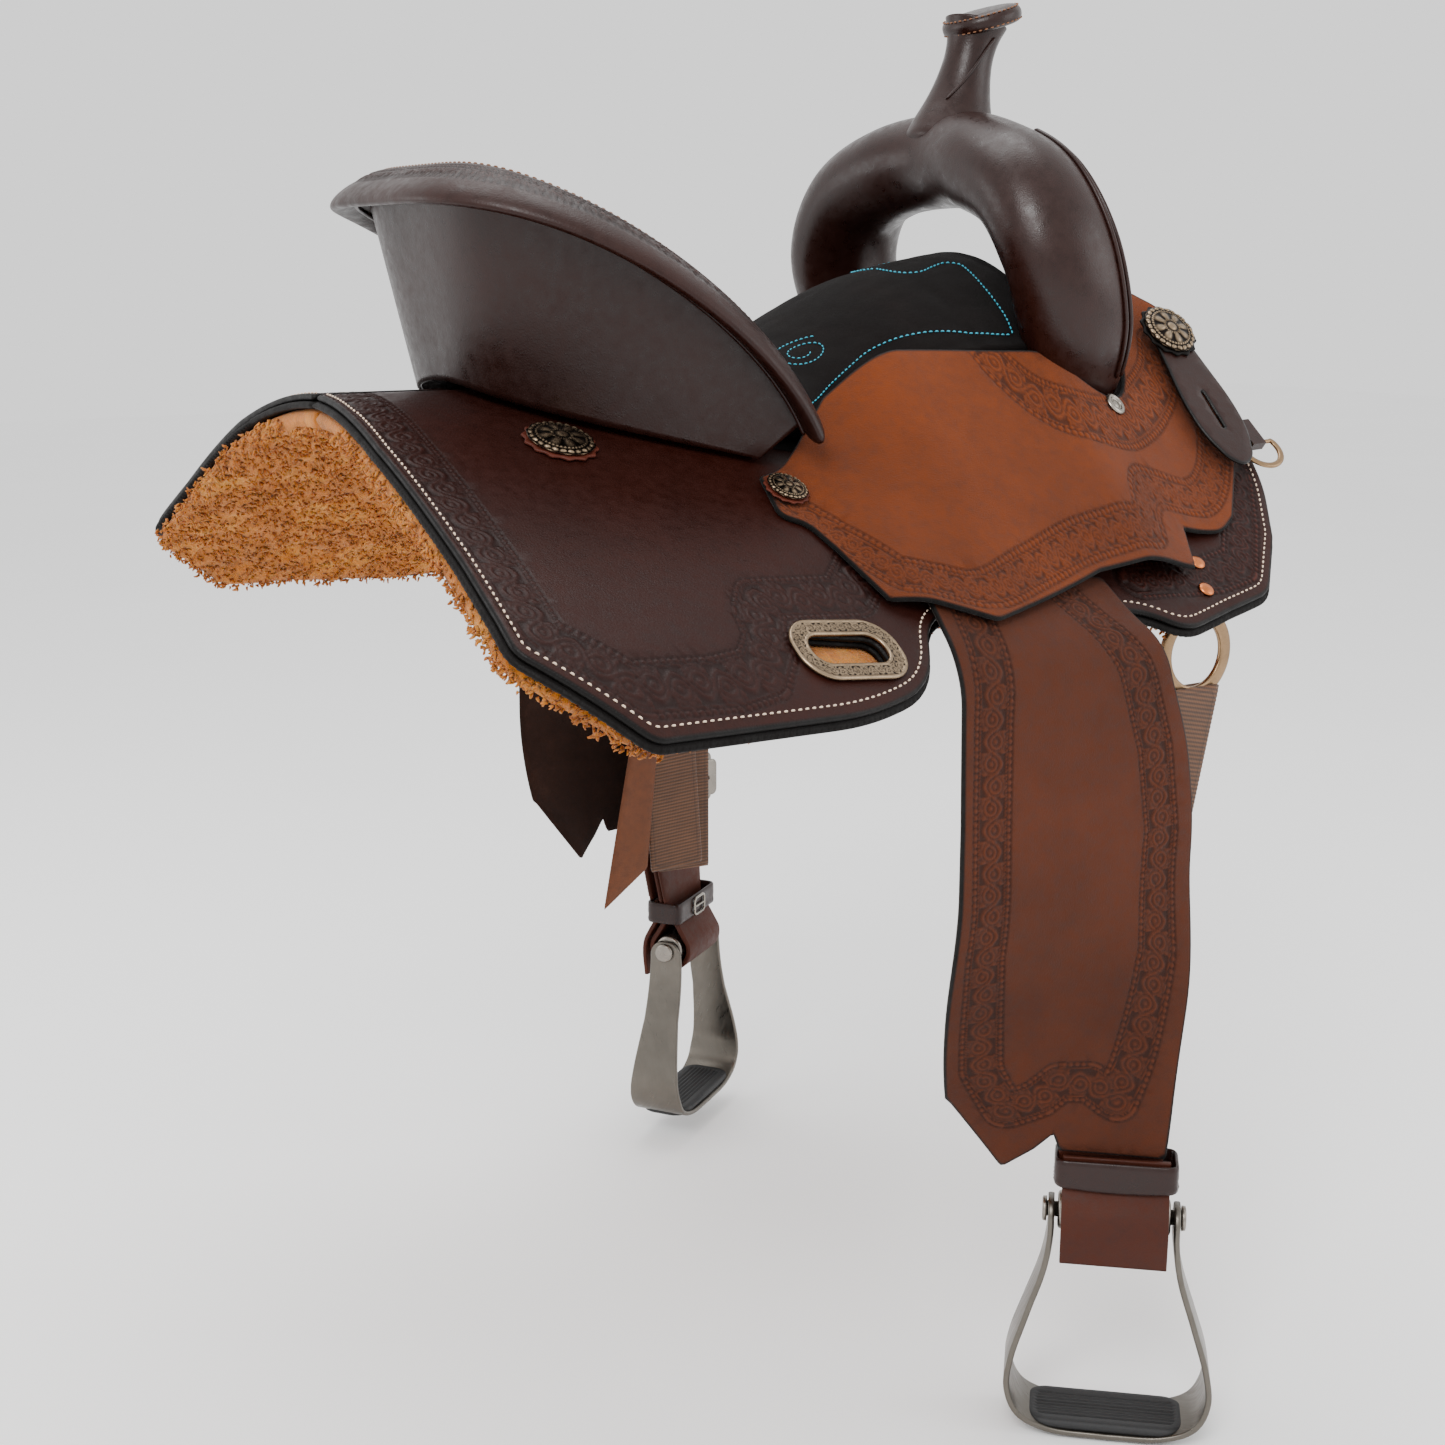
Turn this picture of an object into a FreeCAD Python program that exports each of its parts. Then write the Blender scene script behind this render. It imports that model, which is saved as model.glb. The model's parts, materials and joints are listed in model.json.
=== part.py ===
import FreeCAD, Part
import math
import os
import Sketcher

V = FreeCAD.Vector
doc = FreeCAD.newDocument("western_saddle")

# ---------------------------------------------------------------------------
# Driving dimensions, millimetres and degrees.
# X points to the horn, Y to the near (left) side, Z up.  The origin is the
# crown of the channel under the saddle, at mid-length.
# ---------------------------------------------------------------------------
SIZES = {
    "skirt_gauge": 4.5, "liner_gauge": 4.0, "fleece_gauge": 13.0, "layer_gap": 0.3,
    "jockey_gauge": 3.5, "fender_gauge": 4.0, "leather_gauge": 4.0, "leather_width": 66,
    "seat_cover_gauge": 3.0, "seat_foam_gauge": 12.0, "ground_seat_gauge": 4.0,
    "cantle_height": 156, "cantle_half_width": 152, "cantle_gauge": 15,
    "roll_width": 42, "roll_gauge": 12,
    "horn_neck_radius": 14.5, "horn_cap_radius": 25.5, "horn_cap_gauge": 7, "horn_tilt": 14, "cap_tilt": -17,
    "horn_cover": 2.0,
    "stirrup_inner_width": 127, "stirrup_bar_gauge": 4, "stirrup_arm_width": 48,
    "stirrup_tread_width": 64, "bolt_radius": 5, "bolt_length": 146, "eye_gap": 0.05,
    "ring_radius": 31, "ring_wire": 4.2, "ring_band": 9, "dee_radius": 18, "dee_wire": 2.4,
    "concho_radius": 20.5, "concho_gauge": 2.4, "rosette_gauge": 2.0,
    "plate_length": 76, "plate_height": 46, "plate_gauge": 2.2,
    "webbing_width": 50, "webbing_gauge": 2.6,
    "buckle_width": 86, "buckle_height": 52, "post_radius": 4.6, "sleeve_travel": 22,
    "stirrup_turn": 42, "hinge_height": -170, "fender_plane": 283,
}
sheet = doc.addObject("Spreadsheet::Sheet", "sizes")
sheet.Label = "sizes"
for row, (word, value) in enumerate(SIZES.items(), start=1):
    sheet.set("A%d" % row, word)
    sheet.set("B%d" % row, str(value))
    sheet.setAlias("B%d" % row, word)
doc.recompute()
NODES = []


def size(word):
    return float(sheet.get(word))


def keep(obj, label):
    """Register a finished sub-part under the name of its node."""
    obj.Label = label
    NODES.append(obj)
    return obj


def feature(label, shape):
    obj = doc.addObject("Part::Feature", label)
    obj.Shape = shape
    return keep(obj, label)


def mirrored(shape):
    return shape.mirror(V(0, 0, 0), V(0, 1, 0))


def smoothstep(low, high, x):
    t = min(1.0, max(0.0, (x - low) / (high - low)))
    return t * t * (3 - 2 * t)


# ---------------------------------------------------------------------------
# The back of the skirts: one saddle-shaped surface that every sheet follows.
# ---------------------------------------------------------------------------
def ridge(x):
    return 22 + 0.00025 * max(0.0, x + 50) ** 2


def back(x, y):
    """Height of the skirt's grain side over the horse's back."""
    crown = 84 - 0.053 * x
    spread = 0.775 + 0.00048 * x
    droop = 0.003 * max(0.0, abs(y) - 270) ** 2
    return ridge(x) - (math.hypot(crown, spread * y) - crown) - droop


def bars_lift(x, y):
    """How far the seat jockey stands above the skirt: over fender and bars."""
    base = 4.5 + 9 * smoothstep(-75, -30, x) * smoothstep(215, 150, x)
    start = 255 - 105 * smoothstep(150, 310, x)
    reach = start - abs(y)
    ramp = (reach + math.hypot(reach, 25)) / 2
    return base + 0.40 * smoothstep(-70, 40, x) * ramp


def jockey_top(x, y):
    return back(x, y) + bars_lift(x, y)


def seat_top(x, y):
    """Crowned seat: dished towards the cantle and rising to the fork."""
    centre = 47 + 48 * smoothstep(-20, 125, x) + 0.18 * max(0.0, x - 110)
    centre += 0.00145 * min(0.0, x + 45) ** 2
    edge = (44 + 14 * smoothstep(60, 160, x)) * (abs(y) / 120) ** 2
    dish = 0.0062 * max(0.0, abs(y) - 60) ** 2 * smoothstep(-60, -150, x)
    return centre - edge * smoothstep(-210, -60, x) + dish


def shifted(height, x, y, offset):
    """Point of a height surface moved along its normal."""
    step = 0.5
    slope_x = (height(x + step, y) - height(x - step, y)) / (2 * step)
    slope_y = (height(x, y + step) - height(x, y - step)) / (2 * step)
    normal = V(-slope_x, -slope_y, 1).normalize()
    return V(x, y, height(x, y)) + normal * offset


def skin(rows):
    surface = Part.BSplineSurface()
    surface.interpolate(rows)
    return surface


def slab(lower, upper):
    """Closed solid between two grids of points with the same layout."""
    skins = [skin(lower), skin(upper)]
    faces = [one.toShape() for one in skins]
    for end in (0, 1):
        for across in ("uIso", "vIso"):
            sides = []
            for one in skins:
                bounds = one.bounds()
                value = bounds[end] if across == "uIso" else bounds[2 + end]
                sides.append(getattr(one, across)(value).toShape())
            faces.append(Part.makeRuledSurface(*sides))
    shell = Part.makeShell(faces)
    shell.sewShape()
    solid = Part.makeSolid(shell if shell.ShapeType == "Shell" else shell.Shells[0])
    if solid.Volume < 0:
        solid.reverse()
    return solid


def spaced(low, high, count):
    return [low + (high - low) * i / (count - 1) for i in range(count)]


def layer(height, x_range, y_range, low, high, columns=25, rows=15):
    """Sheet of a height surface, from one normal offset to another."""
    grids = []
    for offset in (low, high):
        grids.append([[shifted(height, x, y, offset) for y in spaced(*y_range, rows)]
                      for x in spaced(*x_range, columns)])
    return slab(*grids)


def outline_prism(points, low=-260, high=260):
    """Prism over a closed outline in the top view."""
    wire = Part.makePolygon([V(x, y, low) for x, y in points + points[:1]])
    return Part.Face(wire).extrude(V(0, 0, high - low))


def rounded(points, radii):
    """Closed outline with arcs at its corners, as (x, y) points."""
    result = []
    count = len(points)
    for i, (x, y) in enumerate(points):
        radius = radii.get(i, 0)
        if not radius:
            result.append((x, y))
            continue
        before = V(points[i - 1][0] - x, points[i - 1][1] - y, 0)
        after = V(points[(i + 1) % count][0] - x, points[(i + 1) % count][1] - y, 0)
        reach = min(radius, before.Length * 0.45, after.Length * 0.45)
        start = V(x, y, 0) + before.normalize() * reach
        end = V(x, y, 0) + after.normalize() * reach
        for k in range(6):
            t = k / 5.0
            p = start * (1 - t) ** 2 + V(x, y, 0) * (2 * t * (1 - t)) + end * t ** 2
            result.append((p.x, p.y))
    return result


# ---------------------------------------------------------------------------
# Skirts, their bound edge and the fleece, off side drawn and near side mirrored
# ---------------------------------------------------------------------------
SKIRT = [(-309, -1), (-318, -114), (-320, -226), (-324, -294), (-266, -338), (-117, -318),
         (-62, -300), (-30, -250), (140, -250), (170, -265), (219, -254), (262, -246),
         (300, -212), (325, -178), (345, -120), (345, -62), (-120, -40), (-190, -1)]
SKIRT_ROUND = {3: 12, 4: 14, 5: 40, 6: 40, 7: 30, 8: 20, 9: 20, 11: 18, 13: 30, 14: 40, 15: 20, 16: 30}


FLEECE = [(-307, -1), (-316, -114), (-318, -226), (-321, -291), (-264, -332), (-220, -322), (-117, -304),
          (-68, -286), (-36, -240), (140, -240), (172, -252), (215, -241), (255, -233), (291, -202), (314, -172),
          (333, -118), (333, -64), (-120, -42), (-190, -1)]
FLEECE_ROUND = {3: 12, 4: 14, 6: 40, 7: 40, 8: 30, 9: 20, 10: 20, 12: 18, 14: 30, 15: 40, 16: 20, 17: 30}


def inset(points, distance):
    face = Part.Face(Part.makePolygon([V(x, y, 0) for x, y in points + points[:1]]))
    return [(v.X, v.Y) for v in face.makeOffset2D(-distance).OuterWire.OrderedVertexes]


def back_sheet(low, high, outline):
    blank = layer(back, (-335, 352), (-352, -0.4), low, high)
    return blank.common(outline_prism(outline))


gauge = size("skirt_gauge")
gap = size("layer_gap")
liner_low = -gauge - gap - size("liner_gauge")
fleece_low = liner_low - gap - size("fleece_gauge")
for side, turn in (("right", lambda s: s), ("left", mirrored)):
    skirt_outline = rounded(SKIRT, SKIRT_ROUND)
    feature("skirt_" + side, turn(back_sheet(-gauge, 0, inset(skirt_outline, 2.5))))
    feature("skirt_edge_" + side, turn(back_sheet(liner_low, -gauge - gap, skirt_outline)))
    feature("fleece_" + side, turn(back_sheet(fleece_low, liner_low - gap, rounded(FLEECE, FLEECE_ROUND))))

# ---------------------------------------------------------------------------
# Seat jockeys
# ---------------------------------------------------------------------------
JOCKEY = [(-62, -142), (-84, -150), (-92, -184), (-76, -190), (-70, -208), (-60, -250), (6, -271),
          (110, -243), (204, -232), (216, -208), (252, -208), (270, -199), (292, -178), (326, -145),
          (332, -118), (322, -72), (300, -55), (262, -64), (246, -112), (222, -136), (190, -138),
          (158, -126), (60, -122), (-20, -123)]
JOCKEY_ROUND = {2: 14, 3: 6, 6: 4, 10: 12, 12: 14, 13: 14, 14: 20, 15: 20, 17: 10, 18: 25, 19: 25, 20: 20}
jockey = layer(jockey_top, (-110, 345), (-285, -48), -size("jockey_gauge"), 0, 31, 17)
jockey = jockey.common(outline_prism(rounded(JOCKEY, JOCKEY_ROUND)))
feature("seat_jockey_right", jockey)
feature("seat_jockey_left", mirrored(jockey))


# ---------------------------------------------------------------------------
# Cantle: crest line, back, tree board, padded face and the rolled rim
# ---------------------------------------------------------------------------
CANTLE_TURN = 86.0


def crest(t):
    """Point of the cantle's top edge, t from -1 (off side) to 1 (near side)."""
    turn = math.radians(CANTLE_TURN * t)
    width = size("cantle_half_width")
    y = width * math.copysign(abs(math.sin(turn)) ** 0.8, turn)
    part = min(1.0, abs(y) / width)
    return V(-243 + 196 * part ** 4.5, y, size("cantle_height") * (1 - part ** 6) ** 0.62)


def crest_out(t):
    """Level direction away from the seat, square to the crest."""
    ahead = crest(min(1.0, t + 0.01)) - crest(max(-1.0, t - 0.01))
    return V(-ahead.y, ahead.x, 0).normalize() * (1 if ahead.y > 0 else -1)


def cantle_base(t):
    y = 136 * math.sin(math.radians(CANTLE_TURN * t))
    x = -224 + 150 * (abs(y) / 136) ** 3.2
    return V(x, y, jockey_top(x, y) + 1.0)


def cantle_point(t, v, depth):
    """v from the base (0) to the crest (1), depth measured towards the seat."""
    low = cantle_base(t)
    high = crest(t) + crest_out(t) * 5
    return low + (high - low) * v - crest_out(t) * depth


def cantle_layer(near, far, top=1.0):
    grids = []
    for depth in (near, far):
        grids.append([[cantle_point(t, v * top, depth) for v in spaced(0, 1, 6)] for t in spaced(-1, 1, 31)])
    return slab(*grids)


board = size("cantle_gauge")
feature("cantle_back", cantle_layer(0, 3, 0.95))
tree_cantle = cantle_layer(3.3, 3.3 + board, 0.93)
feature("tree_cantle", tree_cantle)
cantle_space = cantle_layer(-40, 3.6 + board + 12.5)


def roll_section(t, swell=0.0):
    """Closed section of the rolled rim at one place along the crest."""
    middle = crest(t) + crest_out(t) * 7 + V(0, 0, -11.5 - 4 * t * t)
    across = (crest_out(t) * 0.86 + V(0, 0, -0.5)).normalize()
    ahead = (crest(min(1.0, t + 0.01)) - crest(max(-1.0, t - 0.01))).normalize()
    up = ahead.cross(across).normalize()
    if up.z < 0:
        up = up * -1
    half = size("roll_width") / 2 + swell
    thick = size("roll_gauge") / 2 + swell
    points = []
    for k in range(16):
        turn = 2 * math.pi * k / 16
        flat = math.copysign(abs(math.cos(turn)) ** 0.8, math.cos(turn))
        points.append(middle + across * (half * flat) + up * (thick * math.sin(turn)))
    curve = Part.BSplineCurve()
    curve.interpolate(Points=points, PeriodicFlag=True)
    return Part.Wire(curve.toShape())


def cantle_roll(swell=0.0):
    return Part.makeLoft([roll_section(t, swell) for t in spaced(-0.985, 0.985, 23)], True, False)


feature("cantle_roll", cantle_roll())
roll_space = cantle_roll(0.3)
NODES[-3].Shape = NODES[-3].Shape.cut(roll_space)
NODES[-2].Shape = NODES[-2].Shape.cut(roll_space)
face = cantle_layer(3.6 + board, 3.6 + board + 12, 0.97).cut(roll_space)
feature("cantle_face", face)

# ---------------------------------------------------------------------------
# Fork (pommel): an arch of oval sections, its leather cover and the welts
# ---------------------------------------------------------------------------
ARCH = [(202, -104, 4, 33, 20), (198, -112, 30, 40, 26), (187, -124, 62, 46, 30), (173, -124, 104, 45, 32),
        (167, -98, 144, 42, 33), (168, -52, 164, 38, 33), (178, 0, 170, 38, 33)]
ARCH += [(x, -y, z, half, thick) for x, y, z, half, thick in reversed(ARCH[:-1])]


def arch_section(i, trim=0.0):
    x, y, z, half, thick = ARCH[i]
    before = ARCH[max(0, i - 1)]
    after = ARCH[min(len(ARCH) - 1, i + 1)]
    along = V(0, after[1] - before[1], after[2] - before[2]).normalize()
    outward = V(0, -along.z, along.y)
    points = []
    for k in range(20):
        turn = 2 * math.pi * k / 20
        points.append(V(x, y, z) + V(1, 0, 0) * ((half - trim) * math.cos(turn))
                      + outward * ((thick - trim) * math.sin(turn)))
    curve = Part.BSplineCurve()
    curve.interpolate(Points=points, PeriodicFlag=True)
    return Part.Wire(curve.toShape())


def arch(trim=0.0):
    return Part.makeLoft([arch_section(i, trim) for i in range(len(ARCH))], True, False)


fork_space = arch(-0.3)
fork_cover = arch().cut(arch(3.0))
tree_fork = arch(3.3)

HORN_FOOT = V(176, 0, 184)
CAP_CENTRE = V(201, 0, 266)


def turned(profile, foot=HORN_FOOT, word="horn_tilt"):
    """Solid of revolution about an axis leaned in the saddle's middle plane."""
    wire = Part.makePolygon([V(r, 0, z) for r, z in profile + profile[:1]])
    solid = Part.Face(wire).revolve(V(0, 0, 0), V(0, 0, 1), 360)
    solid.Placement = FreeCAD.Placement(foot, FreeCAD.Rotation(V(0, 1, 0), size(word)))
    return solid


neck = size("horn_neck_radius")
cap = size("horn_cap_radius")
cap_half = size("horn_cap_gauge") / 2
cover = size("horn_cover")
neck_core = turned([(0, -14), (20, -14), (20, 8), (neck + 3, 30), (neck, 56), (neck + 2, 74), (0, 82)])
disc = turned([(0, -cap_half), (cap, -cap_half), (cap, cap_half), (0, cap_half)], CAP_CENTRE, "cap_tilt")
core = neck_core.fuse(disc).removeSplitter()
shell_out = turned([(0, -cap_half - cover - 0.4), (cap - 2, -cap_half - cover - 0.4), (cap + cover + 0.4, -cap_half),
                    (cap + cover + 0.4, cap_half), (cap - 2, cap_half + cover + 0.4), (0, cap_half + cover + 1)],
                   CAP_CENTRE, "cap_tilt")
shell_in = turned([(0, -cap_half - 0.3), (cap + 0.3, -cap_half - 0.3), (cap + 0.3, cap_half + 0.3),
                   (0, cap_half + 0.3)], CAP_CENTRE, "cap_tilt")
wrap = turned([(20.2, 12), (neck + 3.2, 30), (neck + 0.2, 56), (neck + 2.2, 74), (neck + 2.2 + cover, 80),
               (neck + 2.2 + cover, 74), (neck + 0.2 + cover, 56), (neck + 5 + cover, 30), (27, 14), (29, 10),
               (22, 10)])
wrap = wrap.cut(turned([(0, -cap_half - cover - 0.7), (40, -cap_half - cover - 0.7), (40, 30), (0, 30)],
                       CAP_CENTRE, "cap_tilt"))
wrap = max(wrap.Solids, key=lambda piece: piece.Volume)
neck_space = turned([(0, 40), (neck + 2.5, 40), (neck + 2.5, 90), (0, 90)])
cap_cover = shell_out.cut(shell_in).cut(neck_space)
cap_cover = max(cap_cover.Solids, key=lambda piece: piece.Volume)
horn_space = turned([(0, -14.3), (20.3, -14.3), (20.3, 9), (31, 9), (31, 30), (0, 30)])
feature("horn_core", core)
feature("horn_wrap", wrap)
feature("horn_cap", cap_cover)
feature("swell_cover", fork_cover.cut(horn_space))
feature("tree_fork", tree_fork.cut(horn_space))


def welt(turn_degrees):
    """One corded seam that runs down the outer front of the off-side swell."""
    points = []
    for i in range(1, 5):
        x, y, z, half, thick = ARCH[i]
        along = V(0, ARCH[i + 1][1] - ARCH[i - 1][1], ARCH[i + 1][2] - ARCH[i - 1][2]).normalize()
        outward = V(0, -along.z, along.y)
        if outward.y > 0:
            outward = outward * -1
        turn = math.radians(turn_degrees)
        clear = WELT_RADIUS + 0.4
        points.append(V(x, y, z) + V(1, 0, 0) * ((half + clear) * math.cos(turn))
                      + outward * ((thick + clear) * math.sin(turn)))
    curve = Part.BSplineCurve()
    curve.interpolate(points)
    rings = []
    for place in spaced(curve.FirstParameter, curve.LastParameter, 13):
        rings.append(Part.Wire(Part.makeCircle(WELT_RADIUS, curve.value(place), curve.tangent(place)[0])))
    return Part.makeLoft(rings, True, False)


WELT_RADIUS = 1.6
off_welts = [welt(52), welt(62)]
feature("swell_welts", Part.makeCompound(off_welts + [mirrored(w) for w in off_welts]))

# ---------------------------------------------------------------------------
# Seat: leather cover, foam and the ground seat plate over the bars
# ---------------------------------------------------------------------------
SEAT = [(-250, -160), (-78, -136), (-30, -121.5), (20, -120), (120, -120), (152, -98), (176, -92), (178, -60)]
SEAT += [(x, -y) for x, y in reversed(SEAT)]
SEAT_ROUND = {4: 20, 5: 10, 6: 12, 9: 12, 10: 10, 11: 20}


def seat_layer(low, high, margin):
    sheet_solid = layer(seat_top, (-252, 182), (-165, 165), low, high, 33, 25)
    trimmed = sheet_solid.common(outline_prism(inset(rounded(SEAT, SEAT_ROUND), margin)))
    trimmed = trimmed.cut(cantle_space).cut(fork_space).cut(roll_space)
    return max(trimmed.Solids, key=lambda piece: piece.Volume)


cover_low = -size("seat_cover_gauge")
foam_low = cover_low - gap - size("seat_foam_gauge")
plate_low = foam_low - gap - size("ground_seat_gauge")
feature("seat_cover", seat_layer(cover_low, 0, 0.5))
feature("seat_foam", seat_layer(foam_low, cover_low - gap, 3.0))
feature("ground_seat", seat_layer(plate_low, foam_low - gap, 5.0))
horse_side = layer(back, (-335, 352), (-200, 200), -30, 0.4, 25, 31)
for node in NODES:
    if node.Label in ("cantle_face", "tree_cantle", "cantle_back", "ground_seat", "seat_foam"):
        node.Shape = max(node.Shape.cut(horse_side).Solids, key=lambda piece: piece.Volume)
    if node.Label.startswith("seat_jockey"):
        node.Shape = max(node.Shape.cut(fork_space).Solids, key=lambda piece: piece.Volume)

bar = layer(back, (-262, 305), (-150, -50), 0.8, 17)
BAR = [(-255, -62), (-262, -95), (-235, -138), (-120, -128), (0, -104), (110, -104), (200, -146), (280, -140),
       (305, -105), (290, -75), (180, -66), (0, -52)]
bar = bar.common(outline_prism(rounded(BAR, {i: 25 for i in range(len(BAR))})))
seat_space = layer(seat_top, (-252, 190), (-165, 165), plate_low - 0.6, 40, 33, 25)
for space in (seat_space, cantle_space, fork_space, layer(jockey_top, (-110, 345), (-285, -48), -4.2, 10, 31, 17)):
    bar = bar.cut(space)
bar = max(bar.Solids, key=lambda s: s.Volume)
feature("tree_bar_right", bar)
feature("tree_bar_left", mirrored(bar))

# ---------------------------------------------------------------------------
# Fender, stirrup leather and stirrup, in the frame of the hanging leather:
# s runs along its width, d out from the horse, z up.  Off side drawn.
# ---------------------------------------------------------------------------
LEATHER_TOP = -110
LEATHER_DROP = 390
# How each side hangs: leather's place along X, outward turn of the stirrup, how much
# shorter the leather is, and how far the fender is pushed up and swung back on it.
HANGS = {
    "right": {"x": 45, "turn": 42, "short": 0, "raise": 0, "swing": 0.0, "hem_turn": 36},
    "left": {"x": 62, "turn": 34, "short": 20, "raise": 75, "swing": 0.185, "hem_turn": 21},
}
FENDER_REAR = [(-138, -80), (-224, -89), (-312, -100), (-470, -92)]
FENDER_FRONT = [(-138, 78), (-194, 95), (-248, 97), (-326, 83), (-398, 56), (-470, 42)]
FENDER_HEM = [(-130, -400), (-92, -422), (-62, -473), (-40, -458), (-27, -446), (-24, -458), (60, -461),
              (60, -520), (-130, -520)]
SADDLE_EYE = -505
EYE_DEPTH = -7
LEATHER_SHIFT = 9
BUCKLE_HEIGHT = -350
ROLLER = 12.5
BEND_HEIGHT = -152
# The bell-shaped stirrup strip, half of it, with the bolt at the origin
STRIP = [(40.3, 9), (40.3, -14), (44, -38), (54, -70), (63, -100), (65, -120), (57, -138), (38, -147), (0, -149)]


def hang(side, s, z, d):
    """Point of the hanging leather, which turns outward towards the stirrup."""
    way = HANGS[side]
    t = (LEATHER_TOP - z) / LEATHER_DROP
    turn = math.radians(way["turn"] * smoothstep(0.40, 1.0, t))
    x = way["x"] + 50 * min(1.0, max(0.0, t)) + s * math.cos(turn) - d * math.sin(turn)
    y = size("fender_plane") + s * math.sin(turn) + d * math.cos(turn)
    return V(x, -y, z + way["short"] * min(1.0, max(0.0, t)))


def between(table, z):
    """Straight-line reading of a table of (z, value), z falling."""
    for (z0, v0), (z1, v1) in zip(table, table[1:]):
        if z >= z1:
            return v0 + (v1 - v0) * (z0 - z) / (z0 - z1)
    return table[-1][1]


def hanging_sheet(side, left, right, top, bottom, near, far, rows=22, columns=13):
    """Sheet between side lines left(z), right(z) and end lines top(s), bottom(s)."""
    grids = []
    for d in (near, far):
        grid = []
        for u in spaced(0, 1, columns):
            line = []
            for v in spaced(0, 1, rows):
                nominal = top(0) + (bottom(0) - top(0)) * v
                s = left(nominal) + (right(nominal) - left(nominal)) * u
                z = top(s) + (bottom(s) - top(s)) * v
                line.append(hang(side, s, z, d))
            grid.append(line)
        grids.append(grid)
    return slab(*grids)


def gear_frame(side):
    """Placement of the stirrup's own frame, its origin on the bolt."""
    foot = hang(side, LEATHER_SHIFT, SADDLE_EYE, EYE_DEPTH)
    return FreeCAD.Placement(foot, FreeCAD.Rotation(V(0, 0, 1), -HANGS[side]["turn"]))


def across_prism(side, outline, half, hole=None):
    """Prism across the leather at the stirrup, from outlines in (d, height over the bolt)."""
    solid = Part.Face(Part.makePolygon([V(0, -d, z) for d, z in outline + outline[:1]]))
    if hole:
        solid = solid.cut(Part.Face(Part.makePolygon([V(0, -d, z) for d, z in hole + hole[:1]])))
    solid = solid.extrude(V(2 * half, 0, 0))
    solid.translate(V(-half, 0, 0))
    solid.Placement = gear_frame(side).multiply(solid.Placement)
    return solid


def buckle_box(side, half_s, half_z, d_in, d_out, s_mid=0.0):
    """Flat box at the leather's buckle, whose plate stays square to the slide."""
    turn = HANGS[side]["turn"] * smoothstep(0.40, 1.0, (LEATHER_TOP - BUCKLE_HEIGHT) / LEATHER_DROP)
    box = Part.makeBox(2 * half_s, d_out - d_in, 2 * half_z, V(s_mid - half_s, -d_out, -half_z))
    foot = hang(side, LEATHER_SHIFT, BUCKLE_HEIGHT, 0)
    box.Placement = FreeCAD.Placement(foot, FreeCAD.Rotation(V(0, 0, 1), -turn))
    return box


def drop(radius, apex_half, apex_z):
    """Teardrop outline about the stirrup bolt, pointing up."""
    points = [(apex_half, apex_z)]
    for k in range(25):
        turn = math.radians(20 - 220 * k / 24)
        points.append((radius * math.cos(turn), radius * math.sin(turn)))
    return points + [(-apex_half, apex_z)]


def strap_outline(path, gauge):
    """Strip of leather along a path in (d, z), as an outline."""
    return path + [(d - gauge, z) for d, z in reversed(path)]


def box_outline(d_in, d_out, low, high):
    return [(d_in, low), (d_out, low), (d_out, high), (d_in, high)]


def strip_side(offset):
    """The stirrup strip's half outline moved sideways by offset, bottom centre last."""
    points = []
    for i, (x, z) in enumerate(STRIP):
        before = STRIP[max(0, i - 1)]
        after = STRIP[i + 1] if i < len(STRIP) - 1 else (-before[0], before[1])
        along = V(after[0] - before[0], 0, after[1] - before[1]).normalize()
        points.append(V(x - along.z * offset, 0, z + along.x * offset))
    return points


def bell(offset):
    half = strip_side(offset)
    curve = Part.BSplineCurve()
    curve.interpolate(half + [V(-p.x, 0, p.z) for p in reversed(half[:-1])])
    return curve.toShape()


def stirrup_parts():
    """Frame, bolt with its roller, and ribbed tread, about the bolt as origin."""
    outer = bell(size("stirrup_bar_gauge") / 2)
    inner = bell(-size("stirrup_bar_gauge") / 2)
    ends = []
    for index in (0, -1):
        ends.append(Part.makeLine(outer.Vertexes[index].Point, inner.Vertexes[index].Point))
    outline = Part.Face(Part.Wire(Part.__sortEdges__([outer, ends[0], inner, ends[1]])))
    depth = size("stirrup_arm_width")
    frame = outline.extrude(V(0, depth, 0))
    frame.translate(V(0, -depth / 2, 0))
    taper = Part.Face(Part.makePolygon([V(-90, -14, 12), V(-90, 14, 12), V(-90, 16, -60), V(-90, depth / 2, -128),
                                        V(-90, depth / 2, -165), V(-90, -depth / 2, -165),
                                        V(-90, -depth / 2, -128), V(-90, -16, -60), V(-90, -14, 12)]))
    frame = frame.common(taper.extrude(V(180, 0, 0)))
    radius = size("bolt_radius")
    frame = frame.cut(Part.makeCylinder(radius + size("eye_gap"), 120, V(-60, 0, 0), V(1, 0, 0)))
    bolt = Part.makeCylinder(radius, 90, V(-45, 0, 0), V(1, 0, 0))
    bolt = bolt.fuse(Part.makeCylinder(8.2, 3, V(43.0, 0, 0), V(1, 0, 0)))
    bolt = bolt.fuse(Part.makeCylinder(8.2, 3, V(-46.0, 0, 0), V(1, 0, 0)))
    roller = Part.makeCylinder(ROLLER, 72, V(-36, 0, 0), V(1, 0, 0))
    roller = roller.cut(Part.makeCylinder(radius + 0.05, 80, V(-40, 0, 0), V(1, 0, 0)))
    tread = Part.makeBox(104, 44, 6.5, V(-52, -22, -147.5))
    tread = tread.makeFillet(9, [e for e in tread.Edges if abs(e.tangentAt(0).z) > 0.9])
    tread = tread.cut(frame)
    tread = max(tread.Solids, key=lambda piece: piece.Volume)
    for i in range(11):
        tread = tread.cut(Part.makeBox(84, 1.5, 2, V(-42, -18.75 + i * 3.6, -142.5)))
    return frame, Part.makeCompound([bolt, roller]), tread


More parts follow.
